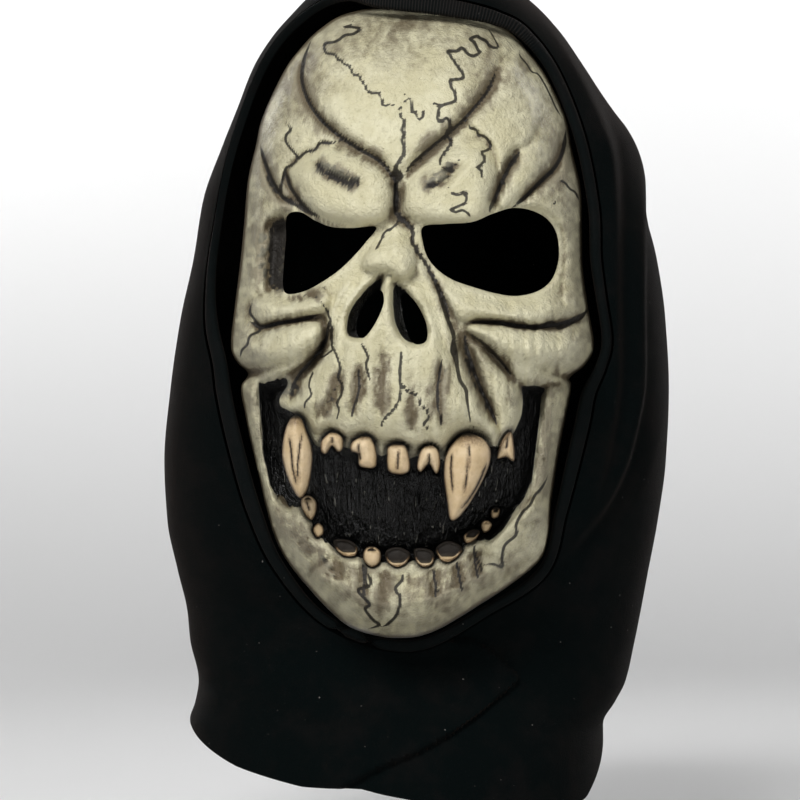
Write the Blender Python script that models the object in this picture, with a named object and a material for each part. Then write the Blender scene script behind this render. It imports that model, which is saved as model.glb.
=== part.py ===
"""Skull face mask of cast latex with a soft black cloth hood.

The face looks towards -Y, +Z is up and the origin is the highest point inside the crown of the hood,
which carries the mask. Places on the face are written on a chart: a flat drawing of the mask as it
is seen from in front, a little to one side. The chart counts squares to the right and down, and the
face is CHART_TALL squares from its top to its chin. Heights above the chart are counted in squares too.
"""

import math
from collections import namedtuple

import bmesh
import bpy
import numpy as np

# Driving sizes, in metres
FACE_HEIGHT = 0.240
FACE_DEPTH = 0.062
EDGE_DEPTH = 0.018
LATEX_WALL = 0.0022
AXIS_TO_EDGE = 0.040
CLOTH_WALL = 0.0022
HEM_WALL = 0.0032
HOOD_DEPTH = 0.184
TOOTH_WALL = 0.0065
FIT_GAP = 0.00045
FACE_TURN = math.radians(6.0)
CHART_SHIFT = 0.008
VIEW_DISTANCE = 1.6

# The chart
CHART_TALL = 630.0
SQUARE = FACE_HEIGHT / CHART_TALL
DOME_POWER = 2.5
EDGE_ROUNDING = 0.06
SIGHT = (400.0, 400.0)
FACE_MIDDLE = (412.0, 330.0)
CHART_LEFT, CHART_RIGHT = 215.0, 610.0
CHART_TOP, CHART_FOOT = -5.0, 650.0

# Mesh budgets
FACE_GRID = 84
FACE_TRIANGLES = 4350
HOOD_ROWS, HOOD_COLUMNS = 74, 120
HOOD_SHEET_TRIANGLES = 1650
HEM_STEP = 15.0
TOOTH_GRID = 4

# Marks that the flat sheets carry in their third coordinate until they are laid on the face
BACK_FLAG = 10.0
EDGE_FLAG = -1.0
CUTTER_TOP = 260.0

UP, LEFT, DOWN, RIGHT = 90.0, 180.0, -90.0, 0.0

FACE_OUTLINE = (
    (410, 6), (378, 7), (352, 12), (334, 19), (314, 34), (300, 49), (287, 66), (272, 95), (261, 122),
    (256, 145), (248, 180), (244, 225), (240, 265), (235, 305), (231, 345), (237, 362), (248, 374),
    (241, 388), (246, 418), (252, 447), (260, 480), (266, 507), (275, 538), (287, 561), (306, 585),
    (328, 609), (350, 627), (378, 636), (398, 638), (420, 636), (443, 627), (473, 609), (510, 585),
    (540, 560), (549, 535), (552, 500), (560, 447), (571, 390), (570, 378), (586, 364), (594, 345),
    (588, 306), (583, 268), (582, 230), (581, 190), (572, 150), (567, 122), (556, 95), (540, 66),
    (512, 34), (490, 22), (465, 12), (440, 7),
)

# Raised forms: how far each stands up, and how wide its rounded edge is where it is crisp and
# where it melts into the face, on the side that the angle names.
Form = namedtuple("Form", "name lift crisp soft soft_side outline")
FORMS = (
    Form("forehead_dome", 15, 14, 70, UP, (
        (400, 0), (345, 12), (313, 38), (303, 58), (302, 80), (308, 98), (318, 115), (335, 132), (357, 148),
        (380, 162), (394, 182), (400, 192), (405, 180), (420, 160), (440, 142), (462, 124), (478, 106),
        (490, 90), (498, 70), (500, 45), (490, 20), (450, 2))),
    Form("temple_left", 9, 9, 30, 120.0, (
        (299, 62), (285, 78), (272, 103), (262, 130), (262, 150), (270, 175), (281, 196), (288, 196),
        (284, 180), (288, 168), (298, 157), (312, 150), (325, 142), (342, 142), (328, 130), (312, 112),
        (303, 95), (299, 78))),
    Form("brow_left", 24, 20, 26, UP, (
        (298, 158), (310, 150), (325, 142), (345, 142), (365, 150), (381, 163), (391, 180), (394, 195),
        (391, 210), (382, 221), (362, 224), (340, 221), (322, 217), (309, 209), (299, 197), (291, 183),
        (288, 170))),
    Form("brow_right", 24, 20, 26, UP, (
        (403, 195), (406, 180), (415, 168), (428, 158), (445, 150), (462, 141), (478, 138), (490, 146),
        (497, 165), (498, 190), (493, 210), (484, 223), (468, 226), (448, 225), (428, 223), (414, 219),
        (405, 209))),
    Form("forehead_right", 12, 12, 60, 60.0, (
        (516, 152), (530, 110), (548, 100), (562, 118), (565, 135), (562, 150), (555, 165), (540, 180),
        (525, 196), (513, 206), (500, 209), (496, 200), (501, 182), (508, 166))),
    Form("temple_right", 11, 8, 22, 60.0, (
        (500, 60), (520, 50), (540, 80), (545, 110), (530, 140), (512, 152), (505, 166), (498, 182),
        (498, 165), (492, 146), (480, 136), (466, 120), (480, 104), (494, 86))),
    Form("orbit_rim_right", 12, 9, 20, RIGHT, (
        (565, 152), (575, 168), (582, 190), (583, 230), (583, 270), (588, 300), (578, 312), (564, 302),
        (563, 280), (565, 255), (562, 230), (549, 213), (531, 206), (519, 205), (531, 192), (548, 177),
        (558, 166))),
    Form("orbit_rim_left", 10, 8, 18, LEFT, (
        (260, 150), (250, 166), (245, 190), (245, 220), (243, 250), (238, 292), (250, 300), (257, 292),
        (260, 270), (263, 240), (267, 222), (282, 210), (298, 206), (290, 203), (279, 198), (268, 178))),
    Form("nasal_bone", 24, 12, 34, UP, (
        (393, 208), (401, 222), (411, 240), (416, 258), (411, 276), (400, 279), (388, 273), (374, 272),
        (364, 269), (361, 262), (369, 248), (379, 235), (388, 222))),
    Form("nose_side_left", 8, 9, 14, UP, (
        (384, 226), (374, 243), (362, 262), (352, 285), (340, 305), (334, 325), (330, 345), (326, 330),
        (330, 308), (338, 290), (352, 270), (368, 247))),
    Form("nose_side_right", 9, 8, 14, UP, (
        (412, 232), (424, 252), (436, 275), (446, 298), (453, 322), (458, 345), (450, 352), (443, 330),
        (436, 305), (424, 282), (414, 262))),
    Form("cheek_rim_left", 20, 13, 15, UP, (
        (252, 300), (262, 296), (285, 297), (308, 294), (324, 289), (332, 299), (324, 312), (300, 319),
        (275, 323), (262, 325), (253, 316), (250, 308))),
    Form("cheekbone_left", 30, 26, 26, LEFT, (
        (234, 322), (250, 320), (260, 327), (285, 322), (308, 320), (322, 326), (323, 342), (312, 358),
        (295, 369), (272, 377), (252, 376), (238, 366), (230, 352), (231, 336))),
    Form("cheek_rim_right", 16, 13, 20, UP, (
        (436, 278), (455, 290), (490, 300), (530, 301), (556, 292), (578, 290), (588, 303), (581, 316),
        (560, 321), (535, 326), (505, 322), (478, 320), (460, 321), (448, 305))),
    Form("cheekbone_right", 30, 28, 28, RIGHT, (
        (472, 324), (500, 324), (530, 328), (560, 325), (580, 318), (590, 310), (596, 335), (594, 357),
        (583, 372), (562, 381), (540, 385), (520, 381), (505, 367), (490, 352), (476, 340), (468, 331))),
    Form("upper_jaw", 34, 30, 40, UP, (
        (340, 300), (332, 330), (320, 357), (306, 376), (294, 396), (287, 410), (303, 416), (316, 432),
        (330, 428), (345, 436), (363, 432), (380, 441), (396, 440), (412, 446), (428, 444), (442, 448),
        (455, 434), (475, 429), (493, 440), (498, 430), (490, 410), (480, 390), (468, 365), (459, 340),
        (449, 315), (440, 295), (428, 280), (410, 272), (390, 266), (368, 270), (352, 283))),
    Form("jaw_root_right", 14, 10, 12, UP, (
        (468, 336), (480, 344), (495, 355), (508, 372), (516, 390), (517, 415), (511, 428), (501, 434),
        (493, 415), (484, 395), (476, 375), (470, 355))),
    Form("chin", 30, 34, 40, UP, (
        (310, 580), (326, 562), (350, 558), (385, 568), (440, 566), (465, 558), (492, 555), (505, 575),
        (482, 600), (455, 618), (425, 634), (398, 638), (370, 635), (342, 619))),
    Form("jaw_left", 10, 14, 20, DOWN, (
        (272, 515), (290, 512), (304, 516), (316, 538), (334, 556), (328, 590), (300, 578), (282, 552))),
    Form("jaw_right", 12, 14, 20, DOWN, (
        (548, 500), (548, 535), (538, 560), (510, 582), (490, 580), (478, 558), (492, 540), (512, 520),
        (530, 500))),
    Form("jaw_strip_left", 12, 8, 10, LEFT, (
        (241, 386), (255, 386), (257, 430), (263, 468), (271, 498), (280, 518), (272, 530), (260, 495),
        (251, 450), (244, 415))),
    Form("jaw_strip_right", 13, 10, 12, RIGHT, (
        (546, 388), (571, 388), (568, 410), (560, 447), (553, 485), (549, 515), (535, 520), (520, 520),
        (534, 490), (540, 460), (543, 430))),
)

# Sunk places: how deep each is, and how wide its sloping wall is.
Pocket = namedtuple("Pocket", "name depth wall outline")
POCKETS = (
    Pocket("mouth", 52, 13, (
        (256, 384), (258, 430), (263, 467), (272, 500), (288, 514), (302, 512), (312, 530), (330, 549),
        (350, 558), (374, 564), (400, 566), (438, 563), (460, 556), (474, 544), (492, 543), (507, 528),
        (522, 508), (533, 488), (539, 460), (542, 430), (546, 402), (547, 385), (530, 383), (517, 383),
        (518, 405), (511, 428), (498, 444), (480, 440), (462, 442), (448, 456), (436, 452), (420, 452),
        (411, 455), (396, 447), (381, 452), (365, 443), (350, 446), (334, 436), (319, 442), (306, 418),
        (291, 408), (282, 402), (290, 386), (286, 376), (268, 379))),
    Pocket("socket_left", 30, 16, (
        (263, 222), (280, 210), (300, 209), (322, 219), (345, 225), (378, 224), (372, 240), (358, 256),
        (342, 272), (325, 285), (305, 295), (280, 297), (261, 295), (259, 270), (262, 240))),
    Pocket("socket_right", 20, 12, (
        (418, 226), (440, 220), (468, 219), (490, 212), (510, 205), (530, 206), (549, 214), (560, 230),
        (564, 255), (560, 275), (551, 288), (537, 296), (515, 300), (493, 298), (472, 293), (452, 285),
        (436, 275), (425, 262), (419, 245))),
    Pocket("nostril_left", 50, 12, (
        (382, 272), (370, 279), (357, 292), (346, 308), (342, 325), (344, 338), (355, 343), (364, 341),
        (376, 326), (383, 308), (386, 292), (387, 278))),
    Pocket("nostril_right", 50, 12, (
        (389, 278), (400, 281), (413, 291), (424, 307), (431, 324), (432, 338), (425, 348), (411, 348),
        (399, 341), (391, 326), (388, 306), (388, 290))),
    Pocket("brow_dimple_left", 13, 14, (
        (306, 160), (318, 156), (332, 166), (350, 173), (364, 178), (371, 184), (360, 190), (345, 192),
        (330, 188), (317, 176))),
    Pocket("brow_dimple_right", 12, 12, (
        (418, 186), (430, 179), (440, 176), (441, 167), (452, 158), (464, 156), (474, 160), (464, 175),
        (453, 187), (440, 191), (428, 190))),
    Pocket("cheek_pit_left", 14, 12, (
        (312, 312), (322, 312), (330, 320), (330, 336), (322, 350), (308, 362), (300, 366), (312, 350),
        (322, 336), (320, 324))),
)

# Grooves that run along a line and fade out at both ends.
Crease = namedtuple("Crease", "name depth width line")
CREASES = (
    Crease("dome_left", 9, 8, ((311, 40), (304, 60), (302, 80), (308, 100), (320, 118), (336, 133),
                               (358, 148), (380, 161), (392, 176), (396, 190))),
    Crease("dome_right", 9, 9, ((497, 68), (488, 90), (474, 108), (461, 122), (445, 136), (428, 150),
                                (411, 165), (402, 180))),
    Crease("brow_middle", 12, 7, ((396, 165), (396, 180), (397, 200), (397, 215), (405, 222),
                                  (412, 232))),
    Crease("nose_right", 9, 6, ((412, 232), (416, 248), (428, 268), (440, 292), (448, 318), (454, 340),
                                (459, 370))),
    Crease("temple_right", 11, 8, ((521, 150), (510, 166), (502, 182), (494, 200), (488, 214))),
    Crease("temple_outer", 12, 9, ((566, 130), (563, 150), (555, 167), (540, 182), (525, 197),
                                   (512, 208))),
    Crease("temple_left", 10, 7, ((260, 145), (266, 165), (273, 182), (284, 198), (298, 206),
                                  (312, 216))),
    Crease("temple_left_inner", 7, 6, ((286, 172), (290, 186), (298, 198), (308, 210), (320, 218))),
    Crease("cheek_left", 10, 7, ((250, 322), (262, 327), (280, 323), (300, 320), (318, 315))),
    Crease("cheek_right", 10, 6, ((470, 322), (500, 323), (530, 327), (560, 324), (582, 315),
                                  (590, 307))),
    Crease("cheek_under_right", 14, 10, ((464, 330), (466, 345), (472, 365), (480, 387), (490, 408),
                                         (498, 428))),
    Crease("cheek_edge_right", 12, 8, ((468, 333), (484, 344), (500, 360), (512, 376))),
    Crease("cheek_under_left", 14, 9, ((328, 322), (326, 340), (314, 358), (300, 374), (290, 390))),
    Crease("furrow_1", 11, 8, ((338, 372), (334, 392), (325, 408), (318, 422))),
    Crease("furrow_2", 10, 7, ((358, 366), (359, 388), (355, 404), (350, 420))),
    Crease("furrow_3", 4, 7, ((383, 345), (383, 380), (382, 420))),
    Crease("furrow_4", 9, 6, ((412, 390), (412, 410), (411, 436))),
    Crease("furrow_5", 10, 6, ((442, 358), (438, 385), (438, 405), (443, 430))),
    Crease("chin_1", 9, 9, ((362, 562), (364, 580), (364, 598))),
    Crease("chin_2", 9, 9, ((432, 566), (435, 582), (436, 600))),
    Crease("chin_3", 8, 8, ((456, 560), (459, 575), (462, 592))),
    Crease("chin_4", 7, 7, ((474, 548), (475, 562), (478, 580))),
    Crease("chin_5", 5, 8, ((384, 568), (385, 590), (385, 606))),
    Crease("chin_6", 8, 9, ((336, 556), (340, 570), (342, 582))),
)

# Holes cut right through the latex.
Hole = namedtuple("Hole", "name outline")
HOLES = (
    Hole("left_eye_hole", (
        (287, 216), (300, 212), (316, 221), (332, 227), (352, 228), (376, 227), (366, 242), (352, 258),
        (338, 271), (322, 282), (305, 291), (288, 294), (283, 286), (284, 262), (286, 238))),
    Hole("right_eye_hole", (
        (423, 227), (445, 224), (472, 222), (492, 214), (512, 208), (530, 210), (546, 218), (556, 232),
        (559, 254), (555, 273), (547, 285), (533, 293), (514, 296), (494, 293), (473, 287), (453, 280),
        (438, 270), (428, 258), (423, 243))),
    Hole("left_nostril_hole", (
        (380, 290), (384, 300), (380, 314), (371, 330), (363, 338), (357, 334), (358, 318), (367, 300))),
    Hole("right_nostril_hole", (
        (402, 294), (411, 297), (421, 311), (427, 327), (426, 341), (415, 344), (408, 334), (403, 316))),
)

# Teeth: the chart point of the gum that each is seated by, how far its middle stands out from that
# gum, how thick it is as a share of TOOTH_WALL, and its outline.
Tooth = namedtuple("Tooth", "name gum lift thick outline")
TEETH = (
    Tooth("upper_fang_left", (300, 404), 2, 2.0, (
        (293, 416), (285, 430), (282, 453), (285, 470), (292, 488), (300, 498), (308, 488), (312, 465),
        (312, 448), (306, 430), (301, 418))),
    Tooth("upper_tooth_1", (332, 420), -4, 1.2, (
        (332, 432), (322, 440), (321, 451), (326, 454), (332, 446), (338, 452), (343, 448), (342, 437))),
    Tooth("upper_tooth_2", (364, 424), -4, 1.2, (
        (364, 436), (352, 442), (351, 451), (358, 454), (359, 465), (367, 468), (376, 466), (376, 450),
        (371, 438))),
    Tooth("upper_tooth_3", (397, 433), -4, 1.3, (
        (396, 444), (388, 447), (387, 455), (388, 470), (396, 474), (404, 474), (410, 469), (408, 452),
        (404, 445))),
    Tooth("upper_tooth_4", (428, 436), -4, 1.5, (
        (429, 445), (421, 450), (417, 466), (421, 472), (429, 464), (436, 474), (440, 466), (439, 452),
        (434, 446))),
    Tooth("upper_fang_right", (472, 422), 4, 2.0, (
        (466, 433), (452, 444), (445, 458), (444, 478), (447, 500), (450, 519), (458, 518), (470, 503),
        (483, 480), (490, 462), (490, 448), (482, 438))),
    Tooth("upper_tooth_rear", (508, 420), -10, 1.6, (
        (511, 431), (502, 440), (497, 458), (506, 457), (514, 461), (514, 445))),
    Tooth("lower_tooth_1", (302, 526), 0, 1.4, (
        (308, 495), (301, 500), (303, 511), (311, 520), (316, 512), (316, 501))),
    Tooth("lower_tooth_2", (316, 544), 0, 1.4, ((318, 523), (313, 529), (317, 537), (323, 534), (323, 527))),
    Tooth("lower_tooth_3", (342, 566), 0, 1.4, (
        (334, 540), (336, 549), (345, 556), (356, 555), (357, 546), (348, 540))),
    Tooth("lower_tooth_4", (372, 575), 2, 1.4, (
        (371, 546), (364, 551), (364, 561), (372, 567), (380, 562), (380, 551))),
    Tooth("lower_tooth_5", (398, 576), 2, 1.4, (
        (386, 551), (387, 561), (397, 567), (407, 562), (410, 553), (398, 547))),
    Tooth("lower_tooth_6", (424, 577), 2, 1.5, (
        (414, 550), (416, 561), (424, 567), (433, 563), (433, 552), (423, 548))),
    Tooth("lower_tooth_7", (450, 572), 0, 1.4, (
        (436, 548), (440, 559), (448, 562), (458, 556), (462, 547), (448, 541))),
    Tooth("lower_tooth_8", (470, 552), 0, 1.4, (
        (464, 535), (466, 543), (474, 541), (480, 532), (473, 529))),
    Tooth("lower_tooth_9", (491, 540), 0, 1.5, ((481, 524), (483, 532), (489, 531), (492, 524), (486, 520))),
    Tooth("lower_tooth_10", (503, 524), 0, 1.2, ((491, 511), (492, 518), (498, 517), (500, 509), (495, 507))),
)
TOOTH_ROUNDING = 0.45
TOOTH_EDGE = 0.3
SOCKET_DEPTH = 9.0
SOCKET_LIP = 4.0
SOCKET_WALL = 4.5
CLEAR_REACHES = (1.0, 2.0)

# The hood, level by level down the chart: its left and right sides on the chart, and how far its
# front and back lie before and behind its axis, as shares of HOOD_DEPTH.
Level = namedtuple("Level", "down left right front back")
HOOD_LEVELS = (
    Level(-38, 415, 415, 0.0, 0.0),
    Level(-36, 390, 440, 0.07, 0.13),
    Level(-30, 362, 470, 0.14, 0.24),
    Level(-15, 330, 504, 0.24, 0.36),
    Level(2, 309, 524, 0.318, 0.45),
    Level(20, 291, 544, 0.345, 0.50),
    Level(40, 273, 563, 0.36, 0.535),
    Level(70, 254, 583, 0.38, 0.565),
    Level(110, 238, 606, 0.39, 0.59),
    Level(150, 222, 630, 0.40, 0.605),
    Level(200, 204, 644, 0.405, 0.62),
    Level(260, 194, 658, 0.405, 0.62),
    Level(320, 181, 665, 0.40, 0.61),
    Level(390, 171, 668, 0.385, 0.59),
    Level(460, 165, 665, 0.36, 0.56),
    Level(520, 168, 657, 0.33, 0.53),
    Level(570, 178, 648, 0.285, 0.51),
    Level(610, 187, 641, 0.245, 0.50),
    Level(640, 190, 635, 0.235, 0.49),
    Level(680, 199, 625, 0.275, 0.485),
    Level(700, 196, 614, 0.305, 0.485),
    Level(720, 190, 602, 0.335, 0.49),
    Level(760, 190, 602, 0.365, 0.49),
    Level(805, 190, 602, 0.375, 0.49),
)
HOOD_WIDEST = -0.10
HOOD_SQUARENESS = 2.35
SIDE_LIMIT = 0.97

# Where the cloth ends at the bottom, by the angle round the hood from its front to the right.
HemPoint = namedtuple("HemPoint", "turn down")
HOOD_FOOT = (
    HemPoint(-180, 690), HemPoint(-130, 694), HemPoint(-92, 706), HemPoint(-70, 728), HemPoint(-45, 752),
    HemPoint(-22, 768), HemPoint(-6, 770), HemPoint(8, 785), HemPoint(25, 800), HemPoint(45, 800),
    HemPoint(62, 785), HemPoint(78, 752), HemPoint(92, 722), HemPoint(130, 700), HemPoint(180, 690),
)

# The face opening: by direction from the middle of the face, how far the inner edge of its hem lies
# outside the mask's outline, and how wide the hem is there.
RimPoint = namedtuple("RimPoint", "turn clear width")
FACE_OPENING = (
    RimPoint(92, -6, 17), RimPoint(97, -1, 14), RimPoint(101.6, 11, 10), RimPoint(106.4, 16, 8),
    RimPoint(112, 19, 7), RimPoint(117, 20, 7), RimPoint(122.5, 19, 7), RimPoint(128, 19, 7),
    RimPoint(135, 21, 7), RimPoint(142, 23, 7), RimPoint(151, 24, 8), RimPoint(162, 23, 10),
    RimPoint(172, 18, 13), RimPoint(180, 11, 16), RimPoint(190, 8, 17), RimPoint(200, 8, 18),
    RimPoint(215, 7, 18), RimPoint(230, 4.5, 17), RimPoint(242, 3, 14), RimPoint(255, 2.5, 12),
    RimPoint(270, 2.5, 12), RimPoint(285, 2.5, 12), RimPoint(298, 3, 13), RimPoint(308, 4, 14),
    RimPoint(318, 8, 16), RimPoint(330, 9, 17), RimPoint(340, 10, 16), RimPoint(349, 8, 13),
    RimPoint(357, 7, 12), RimPoint(370, 8, 12), RimPoint(382, 7, 13), RimPoint(395, 6, 13),
    RimPoint(410, 4, 13), RimPoint(422, 2, 13), RimPoint(430, 1, 15), RimPoint(435, -3, 17),
    RimPoint(440, -8, 19), RimPoint(446, -9, 19),
)

# Folds of the hood, each a crest that rises from the opening's side and drops on the other.
Fold = namedtuple("Fold", "name rise reach line")
FOLDS = (
    Fold("fold_inner", 7, 30, ((505, -12), (540, 22), (572, 76), (596, 130), (606, 165), (609, 220),
                               (609, 300), (609, 380), (600, 440), (584, 500), (560, 545))),
    Fold("fold_outer", 9, 34, ((560, 20), (592, 70), (618, 125), (633, 165), (636, 220), (636, 300),
                                (636, 380), (630, 420), (618, 465), (598, 505), (566, 545), (540, 572))),
    Fold("fold_low_left", 5, 26, ((200, 690), (225, 699), (262, 709), (300, 722), (340, 742))),
)
FOLD_STEP = 12.0
FOLD_DROP = 16.0
FOLD_DIP = 0.5
FOLD_SHOW = 0.04
NAPE_WAVE = 7.0
NAPE_WAVES = 9
NAPE_FROM = 0.55
CROWN_CROWDING = 1.6
CROWN_PLAIN = 0.12
OPENING_FLOOR = -95.0
HEM_LEAN = 0.62
HEM_EVENING = 4
FLAP_EDGE = ((452, 640), (475, 642), (492, 650), (508, 664), (521, 679), (503, 695), (480, 714), (458, 730),
             (436, 743), (408, 757), (380, 768), (340, 790))
FLAP_STEP = 9.0
FLAP_FADE = 60.0

BONE = (0.52, 0.48, 0.33)
TOOTH_BONE = (0.62, 0.47, 0.29)
BLACK_CLOTH = (0.006, 0.006, 0.006)
RIBBED_CLOTH = (0.010, 0.009, 0.008)


def clear_scene():
    for item in list(bpy.data.objects):
        bpy.data.objects.remove(item, do_unlink=True)


def make_material(name, color, roughness):
    material = bpy.data.materials.new(name)
    material.use_nodes = True
    shader = material.node_tree.nodes["Principled BSDF"]
    shader.inputs["Base Color"].default_value = (*color, 1.0)
    shader.inputs["Roughness"].default_value = roughness
    shader.inputs["Metallic"].default_value = 0.0
    return material


def add_object(name, mesh_source, material):
    mesh = bpy.data.meshes.new(name)
    mesh_source.to_mesh(mesh)
    mesh_source.free()
    mesh.materials.append(material)
    item = bpy.data.objects.new(name, mesh)
    bpy.context.scene.collection.objects.link(item)
    return item


def face_outward(body):
    """Turns a closed body's faces outwards."""
    bmesh.ops.recalc_face_normals(body, faces=body.faces)
    if body.calc_volume(signed=True) < 0:
        bmesh.ops.reverse_faces(body, faces=body.faces)


def sight_scale(toward):
    """How much smaller a square is drawn from nearer the eye, by the distance before the hood's axis."""
    return 1.0 - (toward - AXIS_TO_EDGE) / VIEW_DISTANCE


def seat_drop():
    """Height of the chart's sight line below the inside of the hood's crown."""
    crown = (SIGHT[1] - HOOD_LEVELS[0].down) * SQUARE * sight_scale(HOOD_WIDEST * HOOD_DEPTH)
    return crown - CLOTH_WALL


def turned(side, toward, rise):
    """Space point from the distances across and towards the eye, and above the sight line."""
    return (side * math.cos(FACE_TURN) + toward * math.sin(FACE_TURN) - CHART_SHIFT,
            side * math.sin(FACE_TURN) - toward * math.cos(FACE_TURN),
            rise - seat_drop())


def place(across, down, height):
    """Space point of a chart point at a height above the chart, along the line of sight."""
    toward = AXIS_TO_EDGE + height * SQUARE
    square = SQUARE * sight_scale(toward)
    return turned((across - SIGHT[0]) * square, toward, (SIGHT[1] - down) * square)


def curve(points, closed, step=3.0):
    """Close points on a smooth curve that passes through a few chart points."""
    knots = [np.array(point, float) for point in points]
    count = len(knots)
    result = []
    for i in range(count if closed else count - 1):
        if closed:
            before, start, end, after = (knots[(i + k - 1) % count] for k in range(4))
        else:
            start, end = knots[i], knots[i + 1]
            before = knots[i - 1] if i > 0 else 2 * start - end
            after = knots[i + 2] if i + 2 < count else 2 * end - start
        pieces = max(1, math.ceil(np.linalg.norm((end - start)[:2]) / step))
        for j in range(pieces):
            t = j / pieces
            result.append(0.5 * (2 * start + (end - before) * t
                                 + (2 * before - 5 * start + 4 * end - after) * t * t
                                 + (3 * start - before - 3 * end + after) * t ** 3))
    if not closed:
        result.append(knots[-1])
    return np.array(result)


class Chart:
    """An even grid of chart points, with a height kept at each."""

    def __init__(self):
        self.across = np.arange(CHART_LEFT, CHART_RIGHT + 1.0)
        self.down = np.arange(CHART_TOP, CHART_FOOT + 1.0)
        self.grid_across, self.grid_down = np.meshgrid(self.across, self.down)

    def window(self, path, margin):
        low = path.min(axis=0) - margin
        high = path.max(axis=0) + margin
        columns = np.searchsorted(self.across, [low[0], high[0]])
        rows = np.searchsorted(self.down, [low[1], high[1]])
        return slice(*rows), slice(*columns)

    def sample(self, field, across, down):
        x = np.clip(np.asarray(across) - CHART_LEFT, 0, field.shape[1] - 1.001)
        y = np.clip(np.asarray(down) - CHART_TOP, 0, field.shape[0] - 1.001)
        column, row = x.astype(int), y.astype(int)
        right, low = x - column, y - row
        upper = field[row, column] * (1 - right) + field[row, column + 1] * right
        lower = field[row + 1, column] * (1 - right) + field[row + 1, column + 1] * right
        return upper * (1 - low) + lower * low


def path_distance(across, down, path, closed):
    """Distance to a path, the share along it, which side it is on, and what a closed one holds."""
    x, y = np.ravel(across), np.ravel(down)
    best = np.full(x.shape, np.inf)
    along = np.zeros(x.shape)
    side = np.ones(x.shape)
    inside = np.zeros(x.shape, bool)
    ends = np.roll(path, -1, axis=0) if closed else path[1:]
    starts = path if closed else path[:-1]
    for i, (start, end) in enumerate(zip(starts, ends)):
        dx, dy = end[0] - start[0], end[1] - start[1]
        if dx == 0 and dy == 0:
            continue
        ox, oy = x - start[0], y - start[1]
        t = np.clip((ox * dx + oy * dy) / (dx * dx + dy * dy), 0, 1)
        square = (ox - t * dx) ** 2 + (oy - t * dy) ** 2
        near = square < best
        best = np.where(near, square, best)
        along = np.where(near, (i + t) / len(starts), along)
        side = np.where(near, np.sign(dx * oy - dy * ox), side)
        if closed and dy != 0:
            inside ^= ((end[1] > y) != (start[1] > y)) & (x < start[0] + oy * dx / dy)
    shape = np.shape(across)
    return (np.sqrt(best).reshape(shape), along.reshape(shape), side.reshape(shape),
            inside.reshape(shape))


def outline_radius(angles):
    """Distance from the middle of the face to its outline in each direction."""
    path = curve(FACE_OUTLINE, closed=True, step=2.0)
    right, up = path[:, 0] - FACE_MIDDLE[0], FACE_MIDDLE[1] - path[:, 1]
    turn = np.arctan2(up, right)
    order = np.argsort(turn)
    return np.interp(angles, turn[order], np.hypot(right, up)[order], period=2 * math.pi)


def add_form(relief, chart, form):
    path = curve(form.outline, closed=True)
    window = chart.window(path, 1)
    across, down = chart.grid_across[window], chart.grid_down[window]
    distance, along, _, inside = path_distance(across, down, path, closed=True)
    middle = path.mean(axis=0)
    edge_turn = np.arctan2(middle[1] - path[:, 1], path[:, 0] - middle[0])
    lean = 0.5 + 0.5 * np.cos(edge_turn - math.radians(form.soft_side))
    lean = np.interp(along * len(path), np.arange(len(path) + 1), np.append(lean, lean[0]))
    width = form.crisp + (form.soft - form.crisp) * lean ** 2
    share = np.clip(distance / width, 0, 1)
    relief[window] += np.where(inside, form.lift * np.sqrt(1 - (1 - share) ** 2), 0)


def add_crease(relief, chart, crease):
    path = curve(crease.line, closed=False)
    window = chart.window(path, crease.width)
    across, down = chart.grid_across[window], chart.grid_down[window]
    distance, along, _, _ = path_distance(across, down, path, closed=False)
    fade = np.clip(np.minimum(along, 1 - along) * 5 + 0.15, 0, 1)
    share = np.clip(distance / crease.width, 0, 1)
    relief[window] -= crease.depth * fade * (1 - share) ** 2 * (1 + 2 * share)


def add_pocket(relief, chart, outline, depth, wall, lip=0.0):
    path = curve(outline, closed=True)
    window = chart.window(path, lip + 1)
    across, down = chart.grid_across[window], chart.grid_down[window]
    distance, _, _, inside = path_distance(across, down, path, closed=True)
    reach = np.where(inside, distance, -distance) + lip
    share = np.clip(reach / wall, 0, 1)
    relief[window] -= depth * share * share * (3 - 2 * share)


def smooth_field(field, passes):
    for _ in range(passes):
        padded = np.pad(field, 1, mode="edge")
        rows = (padded[:-2] + 2 * padded[1:-1] + padded[2:]) / 4
        field = (rows[:, :-2] + 2 * rows[:, 1:-1] + rows[:, 2:]) / 4
    return field


def lowest_nearby(field, reach):
    """The lowest height within reach squares of each chart point."""
    low = field
    for _ in range(int(math.ceil(reach))):
        padded = np.pad(low, 1, mode="edge")
        rows = np.minimum(np.minimum(padded[:-2], padded[1:-1]), padded[2:])
        low = np.minimum(np.minimum(rows[:, :-2], rows[:, 1:-1]), rows[:, 2:])
    return low


def face_fields():
    """The chart with the heights of the latex's outer and inner faces."""
    chart = Chart()
    right = chart.grid_across - FACE_MIDDLE[0]
    up = FACE_MIDDLE[1] - chart.grid_down
    radius = outline_radius(np.arctan2(up, right).ravel()).reshape(right.shape)
    share = np.clip(np.hypot(right, up) / radius, 0, 1)
    relief = np.zeros_like(share)
    for form in FORMS:
        add_form(relief, chart, form)
    for crease in CREASES:
        add_crease(relief, chart, crease)
    for pocket in POCKETS:
        add_pocket(relief, chart, pocket.outline, pocket.depth, pocket.wall)
    for tooth in TEETH:
        add_pocket(relief, chart, tooth.outline, SOCKET_DEPTH, SOCKET_WALL, SOCKET_LIP)
    edge_fade = np.sqrt(np.clip((1 - share) / EDGE_ROUNDING, 0, 1))
    dome = FACE_DEPTH / SQUARE * np.sqrt(1 - share ** DOME_POWER)
    outer = smooth_field(dome + relief * edge_fade, 3)
    wall = LATEX_WALL / SQUARE
    inner = smooth_field(lowest_nearby(outer, wall) - wall, 4)
    return chart, outer, inner


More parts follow.
